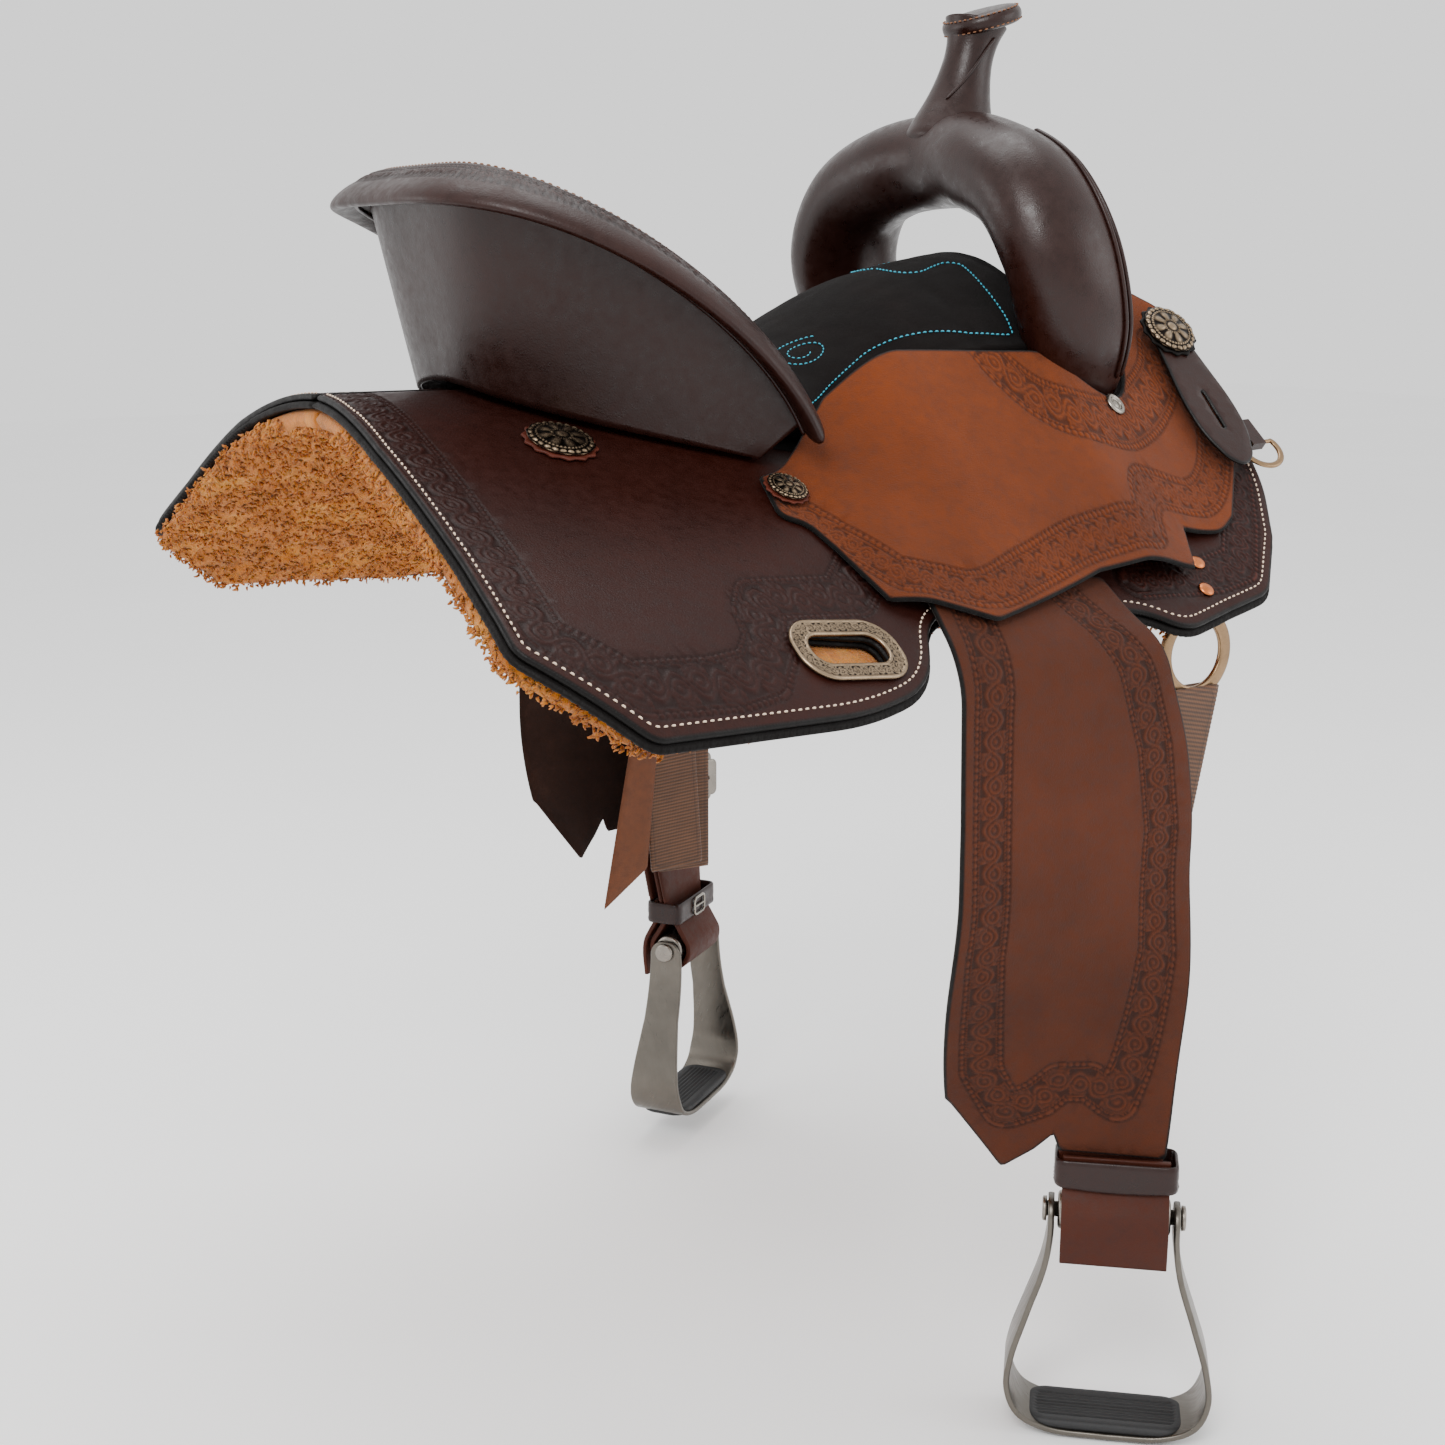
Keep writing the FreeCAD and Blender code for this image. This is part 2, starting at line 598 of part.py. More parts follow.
def fender_lines(side):
    """Side lines and hem of the fender as it lies on its leather."""
    way = HANGS[side]

    def moved(z, s):
        high = z + way["raise"]
        return high, s + way["swing"] * (high + 170)

    rear = [moved(z, s) for z, s in FENDER_REAR if z + way["raise"] < -130]
    front = [moved(z, s) for z, s in FENDER_FRONT if z + way["raise"] < -130]
    hem = [moved(z, s) for s, z in FENDER_HEM]
    return [(-138, -80)] + rear, [(-138, 78)] + front, [(s, z) for z, s in hem]


def hanging_gear(side):
    """Solids of one side's fender, leathers, straps and buckles, drawn on the off side."""
    way = HANGS[side]
    half_fender = size("fender_gauge") / 2
    half_leather = size("leather_width") / 2
    gauge = size("leather_gauge")
    rear, front, hem = fender_lines(side)
    blade = hanging_sheet(side, lambda z: between(rear, z), lambda z: between(front, z),
                          lambda s: -143 - 0.20 * max(0, 44 - s) - 0.28 * max(0, s - 44),
                          lambda s: -484 + way["raise"], -half_fender, half_fender)
    turn = math.radians(way["hem_turn"])
    foot = hang(side, 0, -450 + way["raise"], 0)
    hem_tool = Part.Face(Part.makePolygon([V(s * math.cos(turn) + foot.x, foot.y - s * math.sin(turn), z)
                                           for s, z in hem + hem[:1]]))
    reach = V(-math.sin(turn), -math.cos(turn), 0)
    hem_tool.translate(reach * -60)
    blade = max(blade.cut(hem_tool.extrude(reach * 120)).Solids, key=lambda piece: piece.Volume)
    outer_face = -EYE_DEPTH
    tail_path = [(outer_face + 6.4, 43), (outer_face + 6.6, 31), (outer_face + 8, 24), (outer_face + 12.5, 17),
                 (outer_face + 18.5, 7), (outer_face + 19.3, -5), (outer_face + 17, -26)]
    tail = [across_prism(side, strap_outline(tail_path, 3.5), 34)]
    if way["raise"]:
        tail.append(hanging_sheet(side, lambda z: LEATHER_SHIFT - 34, lambda z: LEATHER_SHIFT + 34,
                                  lambda s: -387, lambda s: -458, 2.9, 6.4, 12, 7))
    loop = across_prism(side, drop(ROLLER + 9.3, 5.5, 27), half_leather - 1, drop(ROLLER + 0.4, 2.4, 21))
    plies = []
    for near, far, top in ((half_fender + 0.6, half_fender + 0.6 + gauge, -150),
                           (half_fender + 0.9 + gauge, half_fender + 1.2 + 2 * gauge - 0.3, -352)):
        plies.append(hanging_sheet(side, lambda z: LEATHER_SHIFT - half_leather,
                                   lambda z: LEATHER_SHIFT + half_leather, lambda s: top - 0.2 * abs(s - 30),
                                   lambda s: -471, -far, -near, 20, 7))
    hobble = across_prism(side, box_outline(outer_face - 19, outer_face + 12.5, 24, 43), 39)
    hobble = hobble.cut(across_prism(side, box_outline(outer_face - 16.6, outer_face + 10.1, 20, 50), 36.9))
    tongue = across_prism(side, box_outline(outer_face - 21.6, outer_face - 19.3, 25, 42), 11)
    tongue = tongue.cut(across_prism(side, box_outline(outer_face - 30, outer_face, 28, 39), 8))
    plate = buckle_box(side, 43, 22, -16.4, -14.2)
    for place in (-30, 30):
        plate = plate.fuse(buckle_box(side, 3, 3, -18.6, -14.2, place))
    sleeve = buckle_box(side, 45, 16, -21.4, -19.2)
    return {"fender": Part.makeCompound([blade] + tail), "stirrup_leather": Part.makeCompound(plies + [loop]),
            "hobble_strap": hobble, "hobble_buckle": tongue, "leather_buckle": plate, "buckle_sleeve": sleeve}


def hanger_point(x, run, offset):
    """Point of the leather that comes off the bars and bends down over the skirt's edge.

    run is measured along the leather from the start of its bend, up the slope negative.
    """
    bend = 46.0
    slope = math.radians(37)
    arc = bend * (math.pi / 2 - slope)
    centre = V(0, bend - size("fender_plane"), BEND_HEIGHT)
    if run >= arc:
        point = centre + V(0, -(bend + offset), arc - run)
        return V(x, point.y, point.z)
    turn = math.pi / 2 - slope - max(0.0, run) / bend
    point = centre + V(0, -math.cos(turn), math.sin(turn)) * (bend + offset)
    if run < 0:
        point += V(0, math.sin(turn), math.cos(turn)) * (-run)
    return V(x, point.y, point.z)


def hanger(x_low, x_high, run_low, run_high, near, far):
    tilt = 0.10
    grids = []
    for offset in (near, far):
        grids.append([[hanger_point(x, run, offset) + V(0, 0, -tilt * (x - 60) * smoothstep(40, -20, run))
                       for run in spaced(run_low, run_high, 15)] for x in spaced(x_low, x_high, 9)])
    return slab(*grids)


frame_solid, bolt_solid, tread_solid = stirrup_parts()
half_fender = size("fender_gauge") / 2
for side, turn in (("right", lambda s: s), ("left", mirrored)):
    start = HANGS[side]["x"] - 45
    feature("fender_top_" + side, turn(hanger(-14, 130, -46, 24, -half_fender, half_fender)))
    feature("hanger_strap_" + side, turn(hanger(26 + start, 98 + start, 12, 80, -half_fender - 9.2, -half_fender - 4.9)))
    for label, shape in hanging_gear(side).items():
        feature("%s_%s" % (label, side), turn(shape))
    for label, shape in (("stirrup", frame_solid), ("stirrup_bolt", bolt_solid), ("stirrup_tread", tread_solid)):
        placed = shape.copy()
        placed.Placement = gear_frame(side)
        feature("%s_%s" % (label, side), turn(placed))


# ---------------------------------------------------------------------------
# Hardware
# ---------------------------------------------------------------------------
def on_surface(height, x, y, lift=0.0):
    """Placement whose Z is the outward normal of a surface."""
    base = shifted(height, x, y, 0)
    normal = shifted(height, x, y, 1) - base
    across = V(1, 0, 0)
    across = (across - normal * across.dot(normal)).normalize()
    up = normal.cross(across)
    matrix = FreeCAD.Matrix(across.x, up.x, normal.x, 0, across.y, up.y, normal.y, 0,
                            across.z, up.z, normal.z, 0, 0, 0, 0, 1)
    return FreeCAD.Placement(base + normal * lift, FreeCAD.Rotation(matrix))


def set_down(shape, place):
    copy = shape.copy()
    copy.Placement = place
    return copy


def origin_plane(body, role):
    return next(item for item in body.Origin.OriginFeatures if item.Role == role)


def sketch_on(body, name, role):
    sketch = body.newObject("Sketcher::SketchObject", name)
    sketch.AttachmentSupport = [(origin_plane(body, role), "")]
    sketch.MapMode = "FlatFace"
    return sketch


def axis_profile(body, points):
    """Sketch of a half profile beside the Z axis, whose first corner is driven by the sheet."""
    sketch = sketch_on(body, body.Name + "_profile", "XZ_Plane")
    for start, end in zip(points, points[1:] + points[:1]):
        sketch.addGeometry(Part.LineSegment(V(*start, 0), V(*end, 0)), False)
    for i in range(len(points)):
        sketch.addConstraint(Sketcher.Constraint("Coincident", i, 2, (i + 1) % len(points), 1))
    return sketch


def revolved(label, points, driven):
    """PartDesign revolution; driven maps a profile point to (axis, alias)."""
    body = doc.addObject("PartDesign::Body", label)
    sketch = axis_profile(body, points)
    for i, (x, z) in enumerate(points):
        for kind, value, origin in (("DistanceX", x, -1), ("DistanceY", z, -1)):
            if abs(value) < 1e-9:
                target = -2 if kind == "DistanceX" else -1
                sketch.addConstraint(Sketcher.Constraint("PointOnObject", i, 1, target))
                continue
            index = sketch.addConstraint(Sketcher.Constraint(kind, origin, 1, i, 1, value))
            word = driven.get((i, kind))
            if word:
                sketch.setExpression("Constraints[%d]" % index, word)
    turn = body.newObject("PartDesign::Revolution", label + "_turn")
    turn.Profile = sketch
    turn.ReferenceAxis = (sketch, ["V_Axis"])
    turn.Angle = 360
    body.Tip = turn
    doc.recompute()
    return body


concho_r = size("concho_radius")
concho_body = revolved("concho_pattern", [(concho_r, 0), (concho_r, 2.4), (concho_r - 4, 3.4), (7, 5.2), (0, 5.4), (0, 0)],
                       {(0, "DistanceX"): "sizes.concho_radius", (1, "DistanceX"): "sizes.concho_radius",
                        (1, "DistanceY"): "sizes.concho_gauge"})
rosette_body = revolved("rosette_pattern", [(23.5, 0), (23.5, 2), (0, 2), (0, 0)],
                        {(1, "DistanceY"): "sizes.rosette_gauge", (2, "DistanceY"): "sizes.rosette_gauge"})
screw_body = revolved("screw_pattern", [(8.5, 0), (8.5, 1.2), (6.5, 2.4), (3, 2.4), (3, 1.4), (0, 1.4), (0, 0)], {})
rivet_body = revolved("rivet_pattern", [(5.6, 0), (5.6, 0.8), (3, 2.0), (0, 2.2), (0, 0)], {})

PLACES = {
    "rear": on_surface(back, -200, -112, 0.5),
    "jockey": on_surface(jockey_top, -76, -165, 2.2),
}
KEEPER_TOP = (300, -90)
KEEPER_TIP = (300, -184)


def keeper_frame(lift):
    """Frame of the keeper: Z out of the leather, Y up towards its screw."""
    top = shifted(jockey_top, *KEEPER_TOP, 0)
    tip = V(KEEPER_TIP[0], KEEPER_TIP[1], jockey_top(*KEEPER_TIP))
    up = (top - tip).normalize()
    ahead = V(1, 0, (jockey_top(KEEPER_TOP[0] + 14, -135) - jockey_top(KEEPER_TOP[0] - 14, -135)) / 28)
    normal = ahead.cross(up).normalize()
    across = up.cross(normal)
    matrix = FreeCAD.Matrix(across.x, up.x, normal.x, 0, across.y, up.y, normal.y, 0,
                            across.z, up.z, normal.z, 0, 0, 0, 0, 1)
    return FreeCAD.Placement(top + normal * lift, FreeCAD.Rotation(matrix))


KEEPER_LIFT = 7.0
KEEPER_EDGE = [(-13, 16), (13, 16), (17, -20), (23, -62), (22, -90), (12, -114), (0, -121), (-12, -114),
               (-22, -90), (-23, -62), (-17, -20)]
keeper_outline = rounded(KEEPER_EDGE, {i: 20 for i in range(len(KEEPER_EDGE))})
keeper = Part.Face(Part.makePolygon([V(x, y, 0) for x, y in keeper_outline + keeper_outline[:1]])).extrude(V(0, 0, 3))
keeper = keeper.cut(Part.makeBox(2.4, 34, 10, V(-1.2, -88, -3)))
keeper = keeper.cut(Part.makeCylinder(3.05, 10, V(0, 0, -3)))
keeper = set_down(keeper, keeper_frame(KEEPER_LIFT))
PLACES["front"] = keeper_frame(KEEPER_LIFT + 3.3)
post = Part.makeCylinder(3.0, KEEPER_LIFT + 3.2, V(0, 0, -KEEPER_LIFT - 3.25))

conchos = []
rosettes = []
for where, place in PLACES.items():
    small = 0.64 if where == "jockey" else 1.0
    stack = concho_body.Shape.copy()
    stack.scale(small, V(0, 0, 0))
    stack.translate(V(0, 0, 2.3))
    base = rosette_body.Shape.copy()
    base.scale(small, V(0, 0, 0))
    conchos.append(set_down(Part.makeCompound([stack]), place))
    rosettes.append(set_down(Part.makeCompound([base]), place))
screws = set_down(post, keeper_frame(KEEPER_LIFT + 3.2))
jockey_body_space = layer(jockey_top, (250, 345), (-150, -50), -8, 0.3, 9, 9)
screws = screws.cut(jockey_body_space)
SCREWS = [(210, -142)]
seat_screws = [set_down(screw_body.Shape, on_surface(jockey_top, x, y, 0.3)) for x, y in SCREWS]
feature("conchos", Part.makeCompound(conchos + [mirrored(c) for c in conchos]))
feature("rosettes", Part.makeCompound(rosettes + [mirrored(r) for r in rosettes]))
feature("seat_screws", Part.makeCompound(seat_screws + [screws] + [mirrored(c) for c in seat_screws + [screws]]))
feature("latigo_keeper_right", keeper)
feature("latigo_keeper_left", mirrored(keeper))

RIVETS = [(216, -220), (207, -238)]
rivets = [set_down(rivet_body.Shape, on_surface(back, x, y, 0.2)) for x, y in RIVETS]
feature("rigging_rivets", Part.makeCompound(rivets + [mirrored(r) for r in rivets]))


# Slot plates: PartDesign pad with a slot, laid on the skirt
def stadium_points(length, height, corner):
    half_l = length / 2
    half_h = height / 2
    return [(-half_l + corner, -half_h), (half_l - corner, -half_h), (half_l, -half_h + corner),
            (half_l, half_h - corner), (half_l - corner, half_h), (-half_l + corner, half_h),
            (-half_l, half_h - corner), (-half_l, -half_h + corner)]


def lines_sketch(body, name, points):
    sketch = sketch_on(body, name, "XY_Plane")
    for start, end in zip(points, points[1:] + points[:1]):
        sketch.addGeometry(Part.LineSegment(V(*start, 0), V(*end, 0)), False)
    for i in range(len(points)):
        sketch.addConstraint(Sketcher.Constraint("Coincident", i, 2, (i + 1) % len(points), 1))
    return sketch


plate_body = doc.addObject("PartDesign::Body", "slot_plate_pattern")
plate_pad = plate_body.newObject("PartDesign::Pad", "slot_plate_pad")
plate_pad.Profile = lines_sketch(plate_body, "slot_plate_edge",
                                 stadium_points(size("plate_length"), size("plate_height"), 14))
plate_pad.setExpression("Length", "sizes.plate_gauge")
doc.recompute()
plate_slot = plate_body.newObject("PartDesign::Pocket", "slot_plate_slot")
plate_slot.Profile = lines_sketch(plate_body, "slot_plate_hole", stadium_points(54, 22, 8))
plate_slot.Type = "ThroughAll"
plate_slot.Midplane = True
plate_body.Tip = plate_slot
doc.recompute()
plate_place = on_surface(back, -112, -281, 0.4)
slot_plate = set_down(plate_body.Shape, plate_place)
feature("flank_plates", Part.makeCompound([slot_plate, mirrored(slot_plate)]))
slot_hole = Part.Face(Part.makePolygon([V(x, y, 0) for x, y in stadium_points(50, 20, 7) + stadium_points(50, 20, 7)[:1]]))
slot_hole = slot_hole.extrude(V(0, 0, 60))
slot_hole.translate(V(0, 0, -9.2))
slot_hole = set_down(slot_hole, plate_place)

# Rigging rings: flat rings that hang in a fold of the skirt
RING_X = 198
RING_Y = 240
RING_Z = -150
ring_outer = doc.addObject("Part::Cylinder", "ring_outer")
ring_outer.setExpression("Radius", "sizes.ring_radius")
ring_outer.setExpression("Height", "sizes.ring_wire")
ring_inner = doc.addObject("Part::Cylinder", "ring_inner")
ring_inner.setExpression("Radius", "sizes.ring_radius - sizes.ring_band")
ring_inner.setExpression("Height", "sizes.ring_wire")
ring_cut = doc.addObject("Part::Cut", "ring_pattern")
ring_cut.Base = ring_outer
ring_cut.Tool = ring_inner
doc.recompute()
ring = ring_cut.Shape.copy()
ring.rotate(V(0, 0, 0), V(1, 0, 0), 90)
ring.translate(V(RING_X, -RING_Y + size("ring_wire") / 2, RING_Z))
feature("rigging_ring_right", ring)
feature("rigging_ring_left", mirrored(ring))
pocket = Part.makeBox(2 * size("ring_radius") + 8, 24, 40, V(RING_X - size("ring_radius") - 4, -RING_Y - 12, RING_Z))
pocket = pocket.cut(layer(back, (120, 280), (-300, -180), -size("skirt_gauge") - 0.1, 30, 11, 9))
for obj in NODES:
    if obj.Label in ("skirt_edge_right", "fleece_right", "skirt_edge_left", "fleece_left"):
        tool = pocket if obj.Label.endswith("right") else mirrored(pocket)
        obj.Shape = obj.Shape.cut(tool)
    if obj.Label in ("skirt_right", "skirt_edge_right", "skirt_left", "skirt_edge_left"):
        tool = slot_hole if obj.Label.endswith("right") else mirrored(slot_hole)
        obj.Shape = obj.Shape.cut(tool)

# Front dees: flat half rings under the front edge of the jockey
dee_place = FreeCAD.Placement(V(338, -156, back(338, -156) + 3.4),
                              on_surface(back, 336, -152).Rotation)
dee_r = size("dee_radius")
dee = Part.makeCylinder(dee_r, 2.6).cut(Part.makeCylinder(dee_r - 4.5, 2.6))
dee = dee.cut(Part.makeBox(60, 60, 10, V(-30, dee_r * 0.45, -3)))
dee = dee.fuse(Part.makeBox(2 * dee_r * 0.88, 3.2, 2.6, V(-dee_r * 0.88, dee_r * 0.45 - 3.2, 0)))
dee = dee.removeSplitter()
dee = set_down(dee, dee_place)
bar_y = dee_r * 0.45 - 1.6
tab = Part.makeBox(12, 24, 6.6, V(-6, bar_y - 3.4, -2.4))
tab = tab.cut(Part.makeCylinder(2.4, 30, V(-15, bar_y, 1.3), V(1, 0, 0)))
tab = set_down(tab, dee_place)
for obj in NODES:
    if obj.Label in ("seat_jockey_right", "skirt_right"):
        tab = tab.cut(obj.Shape)
tab = max(tab.Solids, key=lambda piece: piece.Volume)
feature("dee_tab_right", tab)
feature("dee_tab_left", mirrored(tab))
feature("front_dee_right", dee)
feature("front_dee_left", mirrored(dee))

# Nylon straps on the rigging rings
def webbing(layers, width):
    """Layers of webbing, each an outline (x, z) hung at its own depth y."""
    solids = []
    for points, y in layers:
        face_shape = Part.Face(Part.makePolygon([V(x, -y, z) for x, z in points + points[:1]]))
        solids.append(face_shape.extrude(V(0, -width, 0)))
    return Part.makeCompound(solids)


RING_LOW = RING_Z - size("ring_radius")
web = size("webbing_gauge")
half_web = size("webbing_width") / 2
billet_x = RING_X - 6
billet_back = 50
billet_side = [(billet_x - half_web, RING_LOW + 9.5), (billet_x + half_web, RING_LOW + 9.5),
               (billet_x + half_web - billet_back, -400), (billet_x - billet_back, -415),
               (billet_x - half_web - billet_back, -400)]
off_billet = webbing([(billet_side, RING_Y + 3.2), (billet_side, RING_Y - 3.2 - web)], web)
feature("off_billet", off_billet)


LATIGO_TOP = [(RING_X - 26, RING_LOW + 9.5), (RING_X + 24, RING_LOW + 9.5)]
loop_a = LATIGO_TOP + [(222, -186), (124, -296), (124, -408), (74, -406), (72, -286)]
loop_b = [(52, -250), (102, -250), (112, -400), (62, -402)]
loop_c = [(46, -262), (70, -262), (56, -396), (14, -426)]
latigo = webbing([(loop_a, -RING_Y - 3.2 - web), (loop_b, -RING_Y + 3.2), (loop_c, -RING_Y + 6.6)], -web)
feature("latigo", latigo)

doc.recompute()
for obj in doc.Objects:
    if "Invalid" in obj.State or "Error" in obj.State:
        raise RuntimeError("not built: %s" % obj.Label)
for obj in NODES:
    if obj.Shape.isNull() or not obj.Shape.isValid():
        raise RuntimeError("bad shape: %s" % obj.Label)
os.makedirs("parts", exist_ok=True)
for obj in NODES:
    print(obj.Label, len(obj.Shape.Solids), round(obj.Shape.Volume), flush=True)
    obj.Shape.exportStep("parts/%s.step" % obj.Label)
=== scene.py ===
"""Western saddle: the detailed visual model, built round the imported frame."""
import bmesh
import bpy
import json
import math
import numpy as np
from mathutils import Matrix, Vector
from mathutils.geometry import delaunay_2d_cdt

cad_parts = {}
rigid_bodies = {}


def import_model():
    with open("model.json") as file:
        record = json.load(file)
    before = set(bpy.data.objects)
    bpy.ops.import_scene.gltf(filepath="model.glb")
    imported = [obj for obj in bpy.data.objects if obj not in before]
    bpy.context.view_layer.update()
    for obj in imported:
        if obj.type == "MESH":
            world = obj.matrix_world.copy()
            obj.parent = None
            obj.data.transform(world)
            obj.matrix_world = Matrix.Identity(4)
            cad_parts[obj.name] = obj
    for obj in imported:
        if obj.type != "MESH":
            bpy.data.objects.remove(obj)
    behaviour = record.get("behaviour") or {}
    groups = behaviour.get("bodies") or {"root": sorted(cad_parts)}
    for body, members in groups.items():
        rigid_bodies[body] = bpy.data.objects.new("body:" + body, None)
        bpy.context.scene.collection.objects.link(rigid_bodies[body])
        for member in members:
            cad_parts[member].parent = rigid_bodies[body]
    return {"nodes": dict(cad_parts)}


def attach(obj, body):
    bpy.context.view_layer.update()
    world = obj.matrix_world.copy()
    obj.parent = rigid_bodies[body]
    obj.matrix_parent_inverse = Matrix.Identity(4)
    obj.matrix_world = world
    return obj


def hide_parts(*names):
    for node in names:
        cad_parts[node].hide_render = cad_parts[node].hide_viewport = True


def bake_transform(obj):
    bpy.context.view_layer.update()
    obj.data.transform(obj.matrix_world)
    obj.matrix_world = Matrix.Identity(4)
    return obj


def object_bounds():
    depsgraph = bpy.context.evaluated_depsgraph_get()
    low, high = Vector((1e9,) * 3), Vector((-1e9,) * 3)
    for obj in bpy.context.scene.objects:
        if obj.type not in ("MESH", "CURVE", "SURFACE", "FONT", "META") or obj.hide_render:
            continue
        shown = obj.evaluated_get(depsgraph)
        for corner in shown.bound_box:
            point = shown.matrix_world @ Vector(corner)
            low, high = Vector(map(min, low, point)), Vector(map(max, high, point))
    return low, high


for left_over in list(bpy.data.objects):
    bpy.data.objects.remove(left_over)
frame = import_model()
CAD_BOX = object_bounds()
FINE = 1.15  # mm between the points that carry the tooling
RNG = np.random.default_rng(7)
METRES = 0.001  # one millimetre
WELD = 1e-6


# ---- Materials ----
def srgb(*channels):
    """Linear colour of an 8-bit one."""
    parts = [c / 255 for c in channels]
    return (*[c / 12.92 if c <= 0.04045 else ((c + 0.055) / 1.055) ** 2.4 for c in parts], 1.0)


class Paint:
    """A material and short ways to add nodes to it."""

    def __init__(self, name, roughness=0.5, metallic=0.0):
        self.material = bpy.data.materials.new(name)
        self.material.use_nodes = True
        self.tree = self.material.node_tree
        self.shader = self.tree.nodes["Principled BSDF"]
        self.shader.inputs["Roughness"].default_value = roughness
        self.shader.inputs["Metallic"].default_value = metallic
        self.where = self.tree.nodes.new("ShaderNodeTexCoord").outputs["Object"]
        self.normal = None

    def node(self, kind, **settings):
        made = self.tree.nodes.new(kind)
        for key, value in settings.items():
            setattr(made, key, value)
        return made

    def link(self, source, target):
        if hasattr(source, "links"):
            self.tree.links.new(source, target)
        else:
            target.default_value = source

    def stretched(self, scale):
        made = self.node("ShaderNodeMapping")
        made.inputs["Scale"].default_value = scale
        self.link(self.where, made.inputs["Vector"])
        return made.outputs["Vector"]

    def noise(self, scale, detail=4.0, rough=0.55, where=None):
        made = self.node("ShaderNodeTexNoise")
        made.inputs["Scale"].default_value = scale
        made.inputs["Detail"].default_value = detail
        made.inputs["Roughness"].default_value = rough
        self.link(where or self.where, made.inputs["Vector"])
        return made.outputs["Fac"]

    def cells(self, scale):
        made = self.node("ShaderNodeTexVoronoi")
        made.inputs["Scale"].default_value = scale
        self.link(self.where, made.inputs["Vector"])
        return made.outputs["Distance"]

    def reading(self, word):
        return self.node("ShaderNodeAttribute", attribute_name=word).outputs["Fac"]

    def ramp(self, value, *stops):
        made = self.node("ShaderNodeValToRGB")
        bar = made.color_ramp
        while len(bar.elements) < len(stops):
            bar.elements.new(0.5)
        for element, (place, colour) in zip(bar.elements, stops):
            element.position = place
            element.color = colour if hasattr(colour, "__len__") else (colour, colour, colour, 1)
        self.link(value, made.inputs["Fac"])
        return made.outputs["Color"]

    def mix(self, share, first, second, kind="MIX"):
        made = self.node("ShaderNodeMix", data_type="RGBA", blend_type=kind)
        self.link(share, made.inputs["Factor"])
        self.link(first, made.inputs["A"])
        self.link(second, made.inputs["B"])
        return made.outputs["Result"]

    def maths(self, kind, first, second=0.5):
        made = self.node("ShaderNodeMath", operation=kind)
        self.link(first, made.inputs[0])
        self.link(second, made.inputs[1])
        return made.outputs[0]

    def bump(self, height, distance, strength=1.0):
        made = self.node("ShaderNodeBump")
        made.inputs["Strength"].default_value = strength
        made.inputs["Distance"].default_value = distance
        self.link(height, made.inputs["Height"])
        if self.normal is not None:
            self.link(self.normal, made.inputs["Normal"])
        self.normal = made.outputs["Normal"]

    def colour(self, value):
        self.link(value, self.shader.inputs["Base Color"])

    def rough(self, reading, low, high):
        self.link(self.ramp(reading, (0.3, low), (0.7, high)), self.shader.inputs["Roughness"])

    def settings(self, **values):
        for word, value in values.items():
            self.shader.inputs[word.replace("_", " ")].default_value = value

    def done(self):
        if self.normal is not None:
            self.link(self.normal, self.shader.inputs["Normal"])
        return self.material


def scaled(colour, gain):
    """The same colour, brighter or darker."""
    return tuple(min(1.0, c * gain) for c in colour[:3]) + (1.0,)


def leather(name, tone, roughness, grain, depth, mottle, sheen=0.0, tooled=False, coat=0.0, shine=0.22,
            crown=1.22, painted_cut_shade=0.4):
    """Grained leather; where tooled, 'tool' is the carved relief's height, which sets painted shade in the
    cuts and a painted highlight on the raised parts, and 'edge' the distance to the edge.
    """
    paint = Paint(name, roughness)
    cloud = paint.noise(7, 5, 0.6)
    colour = paint.ramp(cloud, (0.32, scaled(tone, 1 - mottle)), (0.52, tone),
                        (0.72, scaled(tone, 1 + mottle)))
    fine = paint.noise(140, 6, 0.65)
    speck = paint.ramp(fine, (0.3, 0.80), (0.5, 1.0), (0.75, 1.16))
    colour = paint.mix(1.0, colour, speck, "MULTIPLY")
    if tooled:
        cut = paint.reading("tool")
        # Painted shade darkens the tooling's cuts and a painted highlight (crown) brightens its raised parts,
        # both read from 'tool'.
        carving_shade_and_highlight = paint.ramp(cut, (0.0, painted_cut_shade), (0.35, 0.5 + painted_cut_shade * 0.5), (0.74, 1.0), (1.0, crown))
        colour = paint.mix(1.0, colour, carving_shade_and_highlight, "MULTIPLY")
        edge = paint.maths("DIVIDE", paint.reading("edge"), DYED_EDGE)
        colour = paint.mix(paint.ramp(edge, (0.30, 0.0), (0.75, 1.0)), EDGE_DYE, colour)
    paint.colour(colour)
    paint.rough(fine, max(0.05, roughness - 0.10), min(1.0, roughness + 0.12))
    paint.bump(paint.cells(grain), depth)
    paint.bump(paint.noise(grain * 0.8, 2, 0.5), depth * 0.8)
    paint.bump(paint.noise(34, 3), 0.0012, 0.35)
    paint.settings(Sheen_Weight=sheen, Sheen_Roughness=0.45, Coat_Weight=coat, Coat_Roughness=0.3,
                   Specular_IOR_Level=shine)
    return paint.done()


def suede(name, tone, nap):
    paint = Paint(name, 0.95)
    cloud = paint.noise(22, 6, 0.7)
    colour = paint.ramp(cloud, (0.3, scaled(tone, 0.6)), (0.55, tone), (0.75, scaled(tone, 1.7)))
    fine = paint.noise(900, 4, 0.8)
    paint.colour(paint.mix(0.7, colour, paint.ramp(fine, (0.3, 0.55), (0.7, 1.4)), "MULTIPLY"))
    paint.bump(fine, 0.0005)
    paint.bump(paint.noise(60, 4), 0.0014, 0.4)
    paint.settings(Sheen_Weight=nap, Sheen_Roughness=0.6, Specular_IOR_Level=0.06)
    return paint.done()


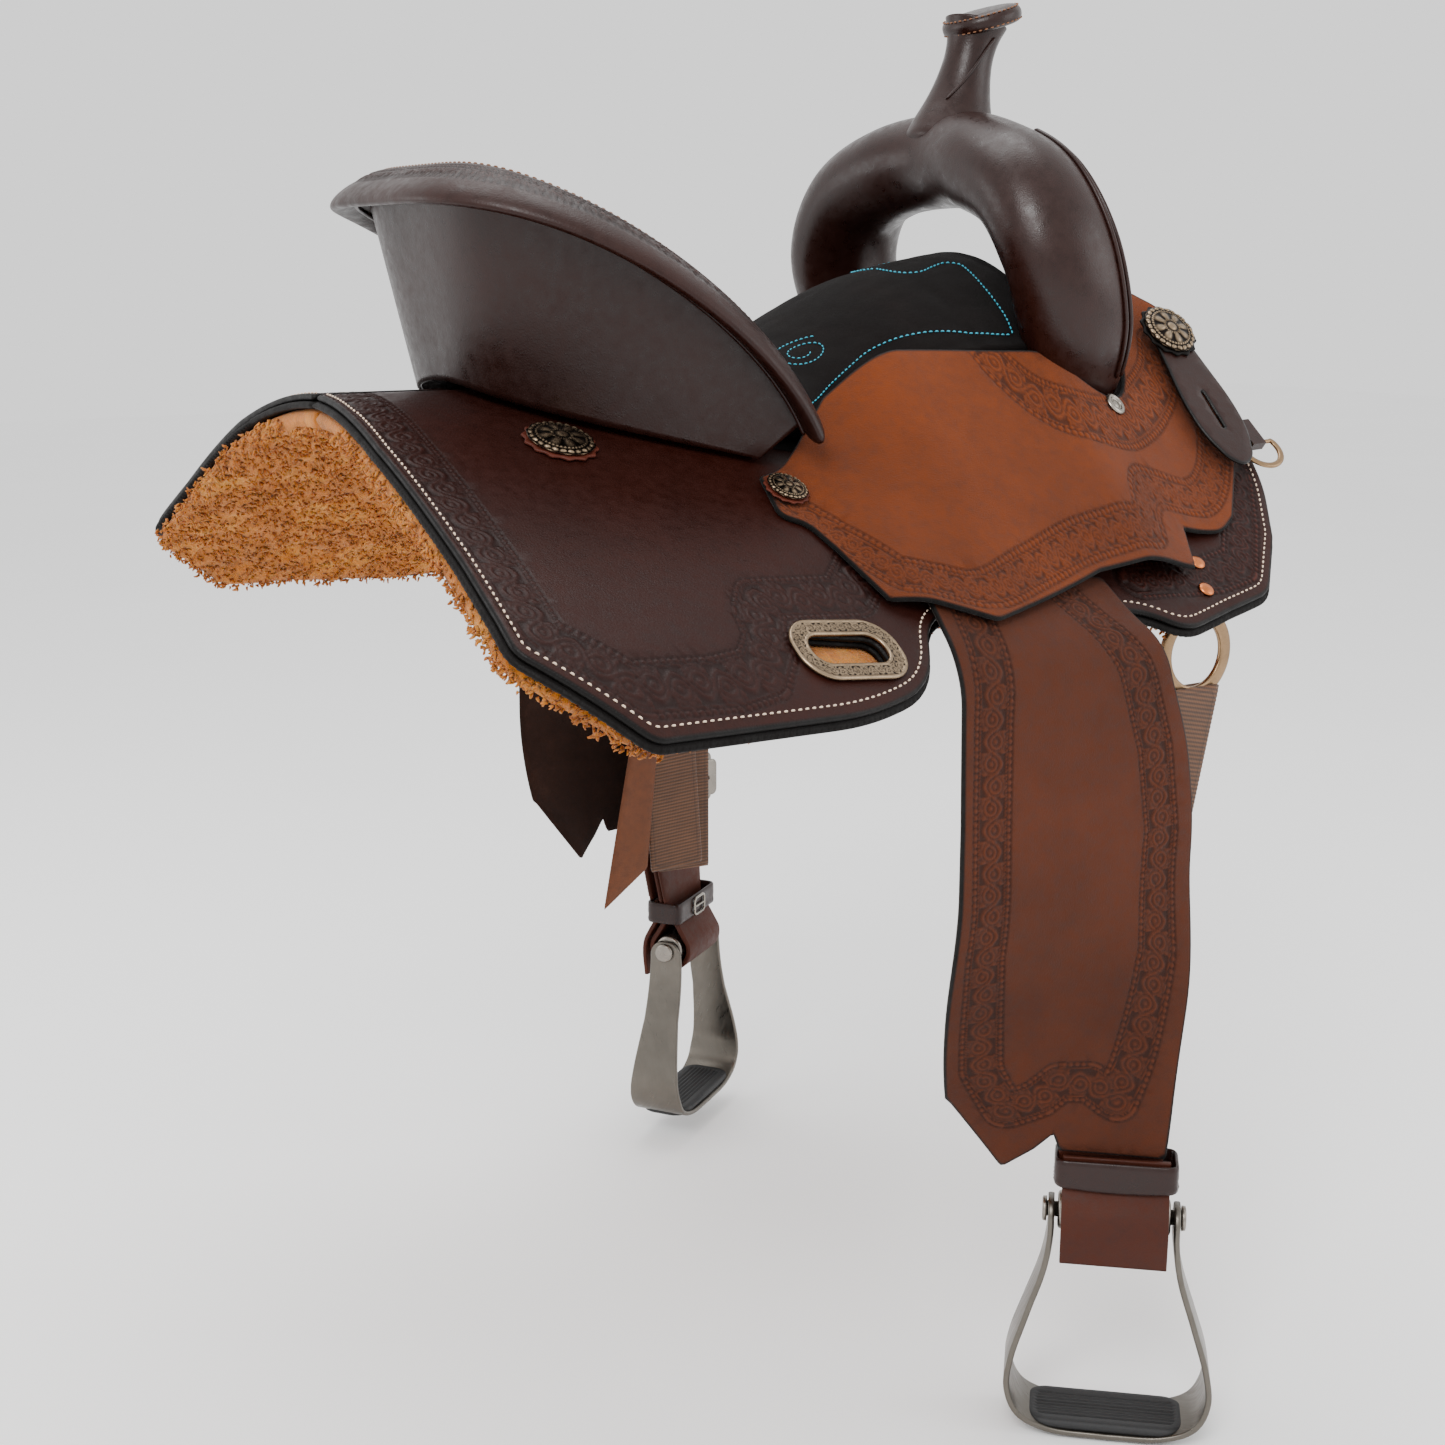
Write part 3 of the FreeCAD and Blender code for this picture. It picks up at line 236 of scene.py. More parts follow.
def wool(name, tone, tips):
    paint = Paint(name, 0.95)
    cloud = paint.noise(26, 6, 0.7)
    colour = paint.ramp(cloud, (0.28, scaled(tone, 0.62)), (0.5, tone), (0.72, tips))
    fibre = paint.noise(420, 5, 0.75, paint.stretched((1, 1, 0.35)))
    paint.colour(paint.mix(0.8, colour, paint.ramp(fibre, (0.3, 0.62), (0.7, 1.3)), "MULTIPLY"))
    paint.bump(fibre, 0.0022)
    paint.settings(Sheen_Weight=0.2, Sheen_Roughness=0.5, Subsurface_Weight=0.12, Subsurface_Scale=0.004,
                   Specular_IOR_Level=0.15)
    return paint.done()


def metal(name, light, roughness, patina=0.3, engraved=None, brushed=None):
    """Dull metal; engraved is the colour of its cut lines, brushed the stretch of its scratches."""
    paint = Paint(name, roughness, 1.0)
    cloud = paint.noise(60, 5, 0.6)
    colour = paint.ramp(cloud, (0.3, scaled(light, 1 - patina)), (0.6, light))
    if engraved:
        colour = paint.mix(paint.ramp(paint.reading("tool"), (0.25, 0.0), (0.7, 1.0)), engraved, colour)
    paint.colour(colour)
    if brushed:
        fine, depth, smoother = paint.noise(1.0, 3, 0.6, paint.stretched(brushed)), 0.00008, 0.08
    else:
        fine, depth, smoother = paint.noise(500, 4, 0.6), 0.00006, 0.07
    paint.bump(fine, depth)
    paint.rough(fine, roughness - smoother, roughness + 0.12)
    return paint.done()


def webbing(name, tone, pitch=2.8):
    """Ribbed nylon; 'along' runs down the strap and 'across' over it, in millimetres."""
    paint = Paint(name, 0.7)
    ribs = paint.maths("SINE", paint.maths("MULTIPLY", paint.reading("along"), 2 * math.pi / pitch))
    cords = paint.maths("SINE", paint.maths("MULTIPLY", paint.reading("across"), 2 * math.pi / 1.6))
    weave = paint.maths("MULTIPLY_ADD", ribs, 0.35)
    cloth = paint.maths("MULTIPLY", cords, 0.06)
    height = paint.maths("ADD", weave, cloth)
    # Painted shade in the ribs' troughs and painted highlight on their crests, from the weave's height.
    colour = paint.ramp(height, (0.1, scaled(tone, 0.45)), (0.55, tone), (0.95, scaled(tone, 1.45)))
    selvedge = paint.maths("DIVIDE", paint.reading("edge"), 10)
    band = paint.ramp(selvedge, (0.30, 1.0), (0.40, 0.62), (0.50, 1.0))
    colour = paint.mix(1.0, colour, band, "MULTIPLY")
    paint.colour(paint.mix(1.0, colour, paint.ramp(paint.noise(40, 4), (0.3, 0.8), (0.7, 1.15)), "MULTIPLY"))
    paint.bump(height, 0.0006)
    paint.settings(Sheen_Weight=0.08)
    return paint.done()


def plain(name, tone, roughness, speck=0.25, scale=300, depth=0.0002):
    """One colour with a fine speckle."""
    paint = Paint(name, roughness)
    fine = paint.noise(scale, 5, 0.65)
    paint.colour(paint.ramp(fine, (0.3, scaled(tone, 1 - speck)), (0.7, scaled(tone, 1 + speck))))
    paint.bump(fine, depth)
    return paint.done()


DYED_EDGE = 3.0  # mm of a cut edge that the black dye reaches
EDGE_DYE = srgb(7, 5, 4)
DARK = srgb(34, 13, 8)
THREAD = (0.7, 0.12, 900, 0.0001)
PAINTS = {
    "leather_dark": leather("smooth_dark_leather", DARK, 0.33, 900, 0.00005, 0.22, coat=0.03, shine=0.3),
    # On tooled leathers, crown sets the painted highlight on raised tooling and the low end of the ramp sets
    # the painted shade in its cuts.
    "dark_tooled": leather("tooled_dark_leather", DARK, 0.40, 900, 0.00008, 0.22, tooled=True, coat=0.04,
                           shine=0.24, crown=2.0),
    "leather_skirt": leather("skirt_leather", srgb(36, 11, 6), 0.46, 800, 0.00010, 0.25, tooled=True,
                             shine=0.16, crown=2.6, painted_cut_shade=0.55),
    "leather_jockey": leather("roughout_jockey_leather", srgb(96, 42, 10), 0.9, 1300, 0.00030, 0.26, 0.05,
                              tooled=True, shine=0.2),
    "leather_fender": leather("fender_leather", srgb(66, 28, 9), 0.7, 1100, 0.00018, 0.28, 0.02, tooled=True,
                              shine=0.2, crown=1.35),
    "leather_plain": leather("strap_leather", srgb(64, 26, 12), 0.6, 900, 0.00014, 0.25),
    "leather_black": leather("black_edge_leather", srgb(8, 5, 4), 0.6, 900, 0.00015, 0.3, shine=0.15),
    "tan_strap": leather("tan_strap_leather", srgb(92, 54, 34), 0.6, 900, 0.00016, 0.25),
    "rosette_red": leather("rosette_leather", srgb(78, 32, 20), 0.55, 900, 0.00015, 0.25),
    "fleece": wool("golden_fleece", srgb(184, 106, 16), srgb(208, 140, 48)),
    "suede": suede("black_suede", srgb(11, 6, 5), 0.03),
    "flesh": suede("flesh_side", srgb(40, 24, 18), 0.06),
    "nylon": webbing("brown_webbing", srgb(84, 52, 28)),
    "tree": leather("covered_tree", srgb(24, 12, 8), 0.6, 700, 0.0002, 0.3),
    "horn": plain("horn_core_wood", srgb(150, 108, 66), 0.6),
    "silver": metal("engraved_silver", srgb(150, 130, 106), 0.32, engraved=srgb(24, 18, 14)),
    "bright_silver": metal("plain_silver", srgb(160, 154, 144), 0.26),
    "aluminium": metal("brushed_aluminium", srgb(104, 99, 92), 0.34, 0.12, brushed=(900, 60, 60)),
    "bronze": metal("bronze_ring", srgb(150, 122, 92), 0.3, 0.2),
    "copper": metal("copper_rivet", srgb(205, 120, 72), 0.3, 0.25),
    "steel": metal("plated_steel", srgb(140, 134, 126), 0.3, 0.2),
    "rubber": plain("black_rubber", srgb(28, 28, 29), 0.65, 0.3, 500),
    "cream_thread": plain("cream_thread", srgb(216, 192, 170), *THREAD),
    "blue_thread": plain("turquoise_thread", srgb(40, 160, 184), 0.6, *THREAD[1:]),
    "brown_thread": plain("brown_thread", srgb(120, 78, 50), 0.7, 0.15, 900, 0.0001),
}


# ---- Mesh helpers; every length below is in millimetres ----
def rows_of(*columns):
    """Points from separate coordinates."""
    return np.stack(np.broadcast_arrays(*columns), axis=-1).astype(float)


def ring_angles(count):
    return np.linspace(0, 2 * math.pi, count, endpoint=False)


def normals_of(path, closed=True):
    """Unit normals, to the right of a flat path's direction."""
    ahead = np.roll(path, -1, axis=0) - np.roll(path, 1, axis=0) if closed else np.gradient(path, axis=0)
    ahead /= np.hypot(*ahead.T)[:, None]
    return np.stack([ahead[:, 1], -ahead[:, 0]], 1)


def make(name, verts, faces, body, slot, paint, replaces=(), **readings):
    """Link a mesh piece, make its faces look outward and say where it belongs."""
    mesh = bpy.data.meshes.new(name)
    mesh.from_pydata((np.asarray(verts) * METRES).tolist(), [], [tuple(f) for f in faces])
    for word, values in readings.items():
        layer = mesh.attributes.new(word, "FLOAT", "POINT")
        layer.data.foreach_set("value", np.asarray(values, dtype=np.float32))
    work = bmesh.new()
    work.from_mesh(mesh)
    bmesh.ops.remove_doubles(work, verts=work.verts, dist=WELD)
    bmesh.ops.recalc_face_normals(work, faces=work.faces)
    work.to_mesh(mesh)
    work.free()
    mesh.polygons.foreach_set("use_smooth", [True] * len(mesh.polygons))
    mesh.materials.append(PAINTS[paint])
    obj = bpy.data.objects.new(name, mesh)
    bpy.context.scene.collection.objects.link(obj)
    if body:
        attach(obj, body)
    if replaces:
        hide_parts(*replaces)
    return obj


def both_sides(name, verts, faces, body, slot, paint, replaces=(), **readings):
    """The off-side piece and its mirror image; a %s in a word stands for the side."""
    made = []
    for side, turn in (("right", 1), ("left", -1)):
        points = np.asarray(verts) * (1, turn, 1)
        made.append(make(name + "_" + side, points, faces, body.replace("%s", side), slot, paint,
                         [node.replace("%s", side) for node in replaces], **readings))
    return made


def smooth(low, high, x):
    """0 below low, 1 above high, and an S curve between."""
    t = np.clip((x - low) / (high - low), 0, 1)
    return t * t * (3 - 2 * t)


def rounded(points, radii):
    """Closed outline with soft corners."""
    result = []
    count = len(points)
    for i, corner in enumerate(points):
        radius = radii.get(i, 0)
        here = np.array(corner, float)
        if not radius:
            result.append(here)
            continue
        before = np.array(points[i - 1], float) - here
        after = np.array(points[(i + 1) % count], float) - here
        reach = min(radius, np.hypot(*before) * 0.45, np.hypot(*after) * 0.45)
        start = here + before / np.hypot(*before) * reach
        end = here + after / np.hypot(*after) * reach
        for t in np.linspace(0, 1, 7):
            result.append(start * (1 - t) ** 2 + here * 2 * t * (1 - t) + end * t * t)
    return np.array(result)


def resample(path, step, closed=False):
    """Points at equal steps along a polyline, its corners cut a little."""
    path = np.asarray(path, float)
    if closed:
        path = np.vstack([path, path[:1]])
    runs = np.linalg.norm(np.diff(path, axis=0), axis=1)
    keep = np.concatenate([[True], runs > 1e-6])
    path, runs = path[keep], runs[runs > 1e-6]
    along = np.concatenate([[0], np.cumsum(runs)])
    count = max(4, int(round(along[-1] / step)))
    places = np.linspace(0, along[-1], count + 1)
    points = np.stack([np.interp(places, along, path[:, k]) for k in range(path.shape[1])], axis=1)
    return points[:-1] if closed else points


def spline(path, count):
    """Smooth curve through control points of any dimension."""
    path = np.asarray(path, float)
    ext = np.vstack([2 * path[0] - path[1], path, 2 * path[-1] - path[-2]])
    steps = np.sqrt(np.linalg.norm(np.diff(path[:, :3], axis=0), axis=1)) + 1e-9
    knots = np.concatenate([[0], np.cumsum(steps)])
    full = np.concatenate([[-steps[0]], knots, [knots[-1] + steps[-1]]])
    result = []
    for t in np.linspace(0, knots[-1], count):
        i = min(max(np.searchsorted(knots, t, "right") - 1, 0), len(path) - 2)
        p, k = ext[i:i + 4], full[i:i + 4]
        a = [(k[j + 1] - t) / (k[j + 1] - k[j]) * p[j] + (t - k[j]) / (k[j + 1] - k[j]) * p[j + 1]
             for j in range(3)]
        b = [(k[j + 2] - t) / (k[j + 2] - k[j]) * a[j] + (t - k[j]) / (k[j + 2] - k[j]) * a[j + 1]
             for j in range(2)]
        result.append((k[2] - t) / (k[2] - k[1]) * b[0] + (t - k[1]) / (k[2] - k[1]) * b[1])
    return np.array(result)


def project(points, path, closed=False):
    """Distance to a polyline, place along it, and which side of it (left +)."""
    path = np.asarray(path, float)
    if closed:
        path = np.vstack([path, path[:1]])
    start, run = path[:-1], np.diff(path, axis=0)
    length = np.maximum(np.hypot(*run.T), 1e-9)
    base = np.concatenate([[0], np.cumsum(length)])[:-1]
    far, along, side = [], [], []
    for chunk in np.array_split(points, max(1, len(points) * len(start) // 4000000 + 1)):
        rel = chunk[:, None] - start[None]
        t = np.clip((rel * run).sum(-1) / length ** 2, 0, 1)
        gap = rel - t[..., None] * run
        away = np.hypot(gap[..., 0], gap[..., 1])
        best = away.argmin(1)
        pick = np.arange(len(chunk))
        far.append(away[pick, best])
        along.append(base[best] + t[pick, best] * length[best])
        cross = run[best, 0] * rel[pick, best, 1] - run[best, 1] * rel[pick, best, 0]
        side.append(np.sign(cross))
    return np.concatenate(far), np.concatenate(along), np.concatenate(side)


def inside(points, outline):
    """Even-odd test."""
    x, y = points[:, 0], points[:, 1]
    result = np.zeros(len(points), bool)
    for (x0, y0), (x1, y1) in zip(outline, np.roll(outline, -1, axis=0)):
        if y0 == y1:
            continue
        hit = (y0 > y) != (y1 > y)
        result ^= hit & (x < (x1 - x0) * (y - y0) / (y1 - y0) + x0)
    return result


def inset(outline, distance, step=2.0):
    """Outline moved inward."""
    points = resample(outline, step, True)
    area = (points[:, 0] * np.roll(points[:, 1], -1) - points[:, 1] * np.roll(points[:, 0], -1)).sum()
    moved = points + normals_of(points) * (-distance if area > 0 else distance)
    far, _, _ = project(moved, points, True)
    return moved[far > abs(distance) * 0.97]


BORDER = 4.2  # mm, a stamped border's width and the pitch of its stamps


def carved(u, w, half):
    """Carved scrolls between two stamped borders: height from 0, cut, to 1, uncut."""
    size = half - BORDER
    pitch = size * 1.32
    cell = np.floor(u / pitch)
    x = u - (cell + 0.5) * pitch
    turn = np.where(cell % 2 == 0, 1.0, -1.0)
    y = w * turn
    ring_y = size * 0.14
    r = np.hypot(x, y - ring_y)
    angle = np.arctan2(y - ring_y, x)
    spiral = np.exp(-((r - size * (0.40 + 0.075 * angle / math.pi)) / (0.105 * size)) ** 2)
    core = np.exp(-(r / (0.17 * size)) ** 2)
    vine = np.exp(-((y + size * (0.62 * np.cos(math.pi * x / pitch) - 0.02)) / (0.12 * size)) ** 2)
    leaf = np.exp(-(np.hypot((np.abs(x) - 0.52 * pitch) / 0.9, (y - 0.66 * size) / 1.1) / (0.26 * size)) ** 4)
    vein = 0.5 + 0.5 * np.cos(angle * 9)
    petals = np.exp(-((r - size * 0.68) / (0.12 * size)) ** 2) * (0.45 + 0.4 * vein)
    height = np.maximum.reduce([spiral, core, vine, leaf * 0.9, petals])
    beads = (np.abs(w) - (half - 1.9)) / 1.7
    step = np.mod(u, BORDER) / BORDER * 2 - 1
    bead = np.clip(1.15 - np.hypot(beads, step * 1.05) ** 2, 0, 1)
    border = np.abs(w) > size + 0.2
    rule = np.exp(-((np.abs(w) - size + 0.2) / 0.45) ** 2)
    return np.where(border, bead, np.clip(np.maximum(height, rule), 0, 1))


class Band:
    """Tooled strip along a path of the flat pattern."""

    def __init__(self, path, half):
        self.path, self.half = resample(path, 2.5), half

    def beyond(self, points):
        """How far each point lies outside the strip."""
        return project(points, self.path)[0] - self.half

    def read(self, points):
        far, along, side = project(points, self.path)
        return far, carved(along, far * side, self.half)


def triangles(loops, free):
    """Triangulation of the first loop, less the others, through some free points."""
    points = np.vstack(loops + [free])
    edges = []
    base = 0
    for loop in loops:
        count = len(loop)
        edges += [(base + i, base + (i + 1) % count) for i in range(count)]
        base += count
    result = delaunay_2d_cdt([Vector(p) for p in points.tolist()], edges, [], 1, 1e-5)
    made = np.array([tuple(v) for v in result[0]])
    faces = np.array([f[:3] for f in result[2]])
    middle = made[faces].mean(1)
    keep = inside(middle, loops[0])
    for hole in loops[1:]:
        keep &= ~inside(middle, hole)
    return made, [tuple(f) for f in faces[keep].tolist()]


UNCUT = 0.76  # reading of plain leather beside the tooling


def sheet(outline, place, low, high, coarse=7.0, holes=(), bands=(), step=None, rim=None, relief=0.7,
          shape=None, fine=None):
    """Closed sheet with round edges over a flat outline; place(a, b, offset) folds it."""
    fine = fine or FINE
    rim = rim or min(1.7, (high - low) / 2 - 0.01)
    step = step or (2.4 if bands else 3.5)
    outer = resample(outline, step, True)
    loops = [outer] + [resample(h, min(step, 2.0), True) for h in holes]
    low_corner, high_corner = outer.min(0), outer.max(0)

    def grid(pitch):
        xs = np.arange(low_corner[0], high_corner[0], pitch)
        ys = np.arange(low_corner[1], high_corner[1], pitch * 0.87)
        gx, gy = np.meshgrid(xs, ys)
        gx = gx + (np.arange(len(ys)) % 2)[:, None] * pitch / 2
        points = np.stack([gx.ravel(), gy.ravel()], 1)
        points = points[inside(points, outer)]
        for hole in loops[1:]:
            points = points[~inside(points, hole)]
        return points

    def edge_distance(points):
        return np.minimum.reduce([project(points, loop, True)[0] for loop in loops])

    rims = []
    for i, loop in enumerate(loops):
        for part in (0.3, 1.0):
            ring = inset(loop, (1 if i == 0 else -1) * rim * part, step)
            ring = ring[inside(ring, outer)]
            rims.append(ring[edge_distance(ring) > rim * part * 0.9])
    under = grid(coarse)
    under = under[edge_distance(under) > max(rim * 1.6, coarse * 0.35)]
    top_only = [under]
    if bands:
        small = grid(fine)
        near = np.minimum.reduce([band.beyond(small) for band in bands])
        small = small[(near < 1.6) & (edge_distance(small) > rim * 1.3)]
        top_only = [under[np.minimum.reduce([band.beyond(under) for band in bands]) > 3], small]
    elif shape is not None:
        small = grid(fine)
        top_only = [small[edge_distance(small) > rim * 1.3]]
    top, top_faces = triangles(loops, np.vstack(rims + top_only))
    bottom, bottom_faces = triangles(loops, np.vstack(rims + [under]))
    top_edge = edge_distance(top)
    bottom_edge = edge_distance(bottom)

    def fall(edge):
        part = 1 - np.minimum(edge, rim) / rim
        return rim * (1 - np.sqrt(np.clip(1 - part ** 2, 0, 1)))

    tool = np.full(len(top), UNCUT)
    lift = np.zeros(len(top))
    for band in bands:
        far, height = band.read(top)
        on = far < band.half
        tool = np.where(on, height, tool)
        lift = np.where(on, (height - 0.85) * relief, lift)
        # Painted shade: a dark line just outside each tooled band, in the 'tool' reading only, with no cut in
        # the surface.
        painted_groove_shade = np.exp(-((far - band.half - 0.3) / 0.6) ** 2)
        tool = np.where(on, tool, np.minimum(tool, UNCUT - 0.5 * painted_groove_shade))
    if shape is not None:
        lift, tool = shape(top, top_edge)
    upper = place(top[:, 0], top[:, 1], high - fall(top_edge) + lift * smooth(0, rim * 2, top_edge))
    lower = place(bottom[:, 0], bottom[:, 1], low + fall(bottom_edge))
    count = len(top)
    faces = [tuple(f) for f in top_faces] + [tuple(count + i for i in reversed(f)) for f in bottom_faces]
    match = {tuple(np.round(p, 3)): count + i for i, p in enumerate(bottom)}
    seen = {(a, b): True for face in top_faces for a, b in zip(face, face[1:] + face[:1])}
    for a, b in seen:
        if (b, a) not in seen:
            c, d = match.get(tuple(np.round(top[a], 3))), match.get(tuple(np.round(top[b], 3)))
            if c is not None and d is not None:
                faces.append((b, a, c, d))
    verts = np.vstack([upper, lower])
    flat = np.vstack([top, bottom])
    return {"verts": verts, "faces": faces, "tool": np.concatenate([tool, np.full(len(bottom), 0.6)]),
            "edge": np.concatenate([top_edge, bottom_edge]), "flat": flat}


def grid_faces(columns, rows, wrap=False):
    faces = []
    for i in range(columns - 1):
        for j in range(rows if wrap else rows - 1):
            k = (j + 1) % rows
            faces.append((i * rows + j, (i + 1) * rows + j, (i + 1) * rows + k, i * rows + k))
    return faces


def tube_mesh(rings):
    """Closed skin over a stack of rings, capped at both ends."""
    rings = np.asarray(rings)
    columns, rows = rings.shape[:2]
    verts = rings.reshape(-1, 3)
    faces = grid_faces(columns, rows, True)
    for end, ring in ((0, rings[0]), (columns - 1, rings[-1])):
        centre = len(verts)
        verts = np.vstack([verts, ring.mean(0)])
        for j in range(rows):
            a, b = end * rows + j, end * rows + (j + 1) % rows
            faces.append((centre, a, b) if end == 0 else (centre, b, a))
    return verts, faces


def loop_mesh(rings):
    """Closed skin over rings that come back to the first one."""
    rings = np.asarray(rings)
    columns, rows = rings.shape[:2]
    faces = []
    for i in range(columns):
        for j in range(rows):
            a, b, k = i * rows, (i + 1) % columns * rows, (j + 1) % rows
            faces.append((a + j, b + j, b + k, a + k))
    return rings.reshape(-1, 3), faces


def cord_rings(path, radius, sides=10, tips=True):
    """Rings of a round cord along a 3-D path."""
    path = np.asarray(path, float)
    ahead = np.gradient(path, axis=0)
    ahead /= np.linalg.norm(ahead, axis=1)[:, None]
    guide = np.array([0.0, 0.0, 1.0]) if abs(ahead[0][2]) < 0.9 else np.array([1.0, 0.0, 0.0])
    rings = []
    side = np.cross(ahead[0], guide)
    for i, (point, direction) in enumerate(zip(path, ahead)):
        side = side - direction * side.dot(direction)
        side /= np.linalg.norm(side)
        other = np.cross(direction, side)
        size = radius if not tips or 0 < i < len(path) - 1 else radius * 0.4
        angles = ring_angles(sides)
        rings.append(point + size * (np.cos(angles)[:, None] * side + np.sin(angles)[:, None] * other))
    return rings


def joined(parts):
    """One vertex list and face list from several."""
    verts, faces, base = [], [], 0
    for points, polygons in parts:
        verts.append(points)
        faces += [tuple(base + i for i in polygon) for polygon in polygons]
        base += len(points)
    return np.vstack(verts), faces


def stitch_mesh(path, normals, length=3.0, gap=1.6, radius=0.55):
    """Row of thread stitches that lie along a 3-D path."""
    path = np.asarray(path, float)
    steps = np.linalg.norm(np.diff(path, axis=0), axis=1)
    along = np.concatenate([[0], np.cumsum(steps)])
    parts = []
    place = gap
    while place + length < along[-1]:
        ends = []
        for spot in (place, place + length * 0.5, place + length):
            ends.append(np.array([np.interp(spot, along, path[:, k]) for k in range(3)]))
        normal = np.array([np.interp(place + length / 2, along, normals[:, k]) for k in range(3)])
        normal /= max(np.linalg.norm(normal), 1e-9)
        direction = ends[2] - ends[0]
        direction /= max(np.linalg.norm(direction), 1e-9)
        across = np.cross(direction, normal)
        rings = []
        angles = ring_angles(6)
        for spot, size, lift in ((ends[0], 0.35, -0.2), ((ends[0] * 0.8 + ends[2] * 0.2), 1.0, 0.25),
                                 (ends[1], 1.1, 0.4), ((ends[0] * 0.2 + ends[2] * 0.8), 1.0, 0.25),
                                 (ends[2], 0.35, -0.2)):
            around = np.cos(angles)[:, None] * across + np.sin(angles)[:, None] * normal
            rings.append(spot + normal * lift * radius + radius * size * around)
        parts.append(tube_mesh(rings))
        place += length + gap
    return joined(parts)


def row_on(place, path, offset):
    """3-D line and its normals for a row of stitches on a folded sheet."""
    points = resample(path, 2.0)
    line = place(points[:, 0], points[:, 1], np.full(len(points), float(offset)))
    above = place(points[:, 0], points[:, 1], np.full(len(points), float(offset) + 1))
    return line, above - line


def lathe(profile, sides):
    """Rings of a turned shape about Z, from a list of (radius, height)."""
    angles = ring_angles(sides)
    return np.array([rows_of(radius * np.cos(angles), radius * np.sin(angles), float(height))
                     for radius, height in profile])


def placed(points, frame_axes):
    """Points of a local frame (origin, X, Y, Z) in the saddle's frame."""
    origin, x, y, z = frame_axes
    points = np.asarray(points)
    return origin + points[..., 0:1] * x + points[..., 1:2] * y + points[..., 2:3] * z


def turned_piece(profile, axes, sides=40):
    return tube_mesh(placed(lathe(profile, sides), axes))


def leaned(origin, degrees):
    """Frame turned about Y, as the horn's neck and cap are."""
    turn = math.radians(degrees)
    return (np.array(origin, float), np.array([math.cos(turn), 0, -math.sin(turn)]), np.array([0, 1.0, 0]),
            np.array([math.sin(turn), 0, math.cos(turn)]))


# ---- The surfaces that the sheets follow, as in the CAD model ----
def back(x, y):
    crown = 84 - 0.053 * x
    spread = 0.775 + 0.00048 * x
    ridge = 22 + 0.00025 * np.maximum(0, x + 50) ** 2
    droop = 0.003 * np.maximum(0, np.abs(y) - 270) ** 2
    return ridge - (np.hypot(crown, spread * y) - crown) - droop


def jockey_top(x, y):
    base = 4.5 + 9 * smooth(-75, -30, x) * (1 - smooth(150, 215, x))
    start = 255 - 105 * smooth(150, 310, x)
    reach = start - np.abs(y)
    ramp = (reach + np.hypot(reach, 25)) / 2
    return back(x, y) + base + 0.40 * smooth(-70, 40, x) * ramp


def seat_top(x, y):
    centre = 47 + 48 * smooth(-20, 125, x) + 0.18 * np.maximum(0, x - 110)
    centre = centre + 0.00145 * np.minimum(0, x + 45) ** 2
    edge = (44 + 14 * smooth(60, 160, x)) * (np.abs(y) / 120) ** 2
    dish = 0.0062 * np.maximum(0, np.abs(y) - 60) ** 2 * (1 - smooth(-150, -60, x))
    return centre - edge * smooth(-210, -60, x) + dish


def over(height):
    """Folding rule that lays a flat pattern on a height surface."""

    def place(x, y, offset):
        x, y = np.asarray(x, float), np.asarray(y, float)
        slope_x = height(x + 0.5, y) - height(x - 0.5, y)
        slope_y = height(x, y + 0.5) - height(x, y - 0.5)
        size = np.sqrt(slope_x ** 2 + slope_y ** 2 + 1)
        return rows_of(x - slope_x / size * offset, y - slope_y / size * offset, height(x, y) + offset / size)

    return place


def lie_flat(x, y, offset):
    """Folding rule of a sheet that stays flat."""
    return rows_of(x, y, np.asarray(offset, float))


ON_BACK, ON_JOCKEY, ON_SEAT = over(back), over(jockey_top), over(seat_top)


def spot_frame(place, x, y, lift=0.0):
    """Local frame on a folded surface: Z out of it, X towards the horn."""
    base = place(np.array([x]), np.array([y]), 0.0)[0]
    normal = place(np.array([x]), np.array([y]), 1.0)[0] - base
    across = np.array([1.0, 0, 0]) - normal * normal[0]
    across /= np.linalg.norm(across)
    return base + normal * lift, across, np.cross(normal, across), normal


# ---- Skirts, bound edge and fleece ----
SKIRT = [(-309, -1), (-318, -114), (-320, -226), (-324, -294), (-266, -338), (-117, -318),
         (-62, -300), (-30, -250), (140, -250), (170, -265), (219, -254), (262, -246),
         (300, -212), (325, -178), (345, -120), (345, -62), (-120, -40), (-190, -1)]
SKIRT_ROUND = {3: 8, 4: 8, 5: 40, 6: 40, 7: 30, 8: 20, 9: 20, 11: 10, 13: 14, 14: 20, 15: 20, 16: 30}
FLEECE = [(-307, -1), (-316, -114), (-318, -226), (-321, -291), (-264, -332), (-220, -322), (-117, -304),
          (-68, -286), (-36, -240), (140, -240), (172, -252), (215, -241), (255, -233), (291, -202),
          (314, -172), (333, -118), (333, -64), (-120, -42), (-190, -1)]
FLEECE_ROUND = {3: 12, 4: 14, 6: 40, 7: 40, 8: 30, 9: 20, 10: 20, 12: 18, 14: 30, 15: 40, 16: 20, 17: 30}

skirt_outline = rounded(SKIRT, SKIRT_ROUND)
PLATE_SPOT = (-112, -281)


def stadium(length, height, corner, arc=6):
    """Rectangle with round corners."""
    half_l, half_h = length / 2 - corner, height / 2 - corner
    points = []
    for cx, cy, start in ((half_l, -half_h, -90), (half_l, half_h, 0), (-half_l, half_h, 90),
                          (-half_l, -half_h, 180)):
        for k in range(arc + 1):
            turn = math.radians(start + 90 * k / arc)
            points.append((cx + corner * math.cos(turn), cy + corner * math.sin(turn)))
    return np.array(points)


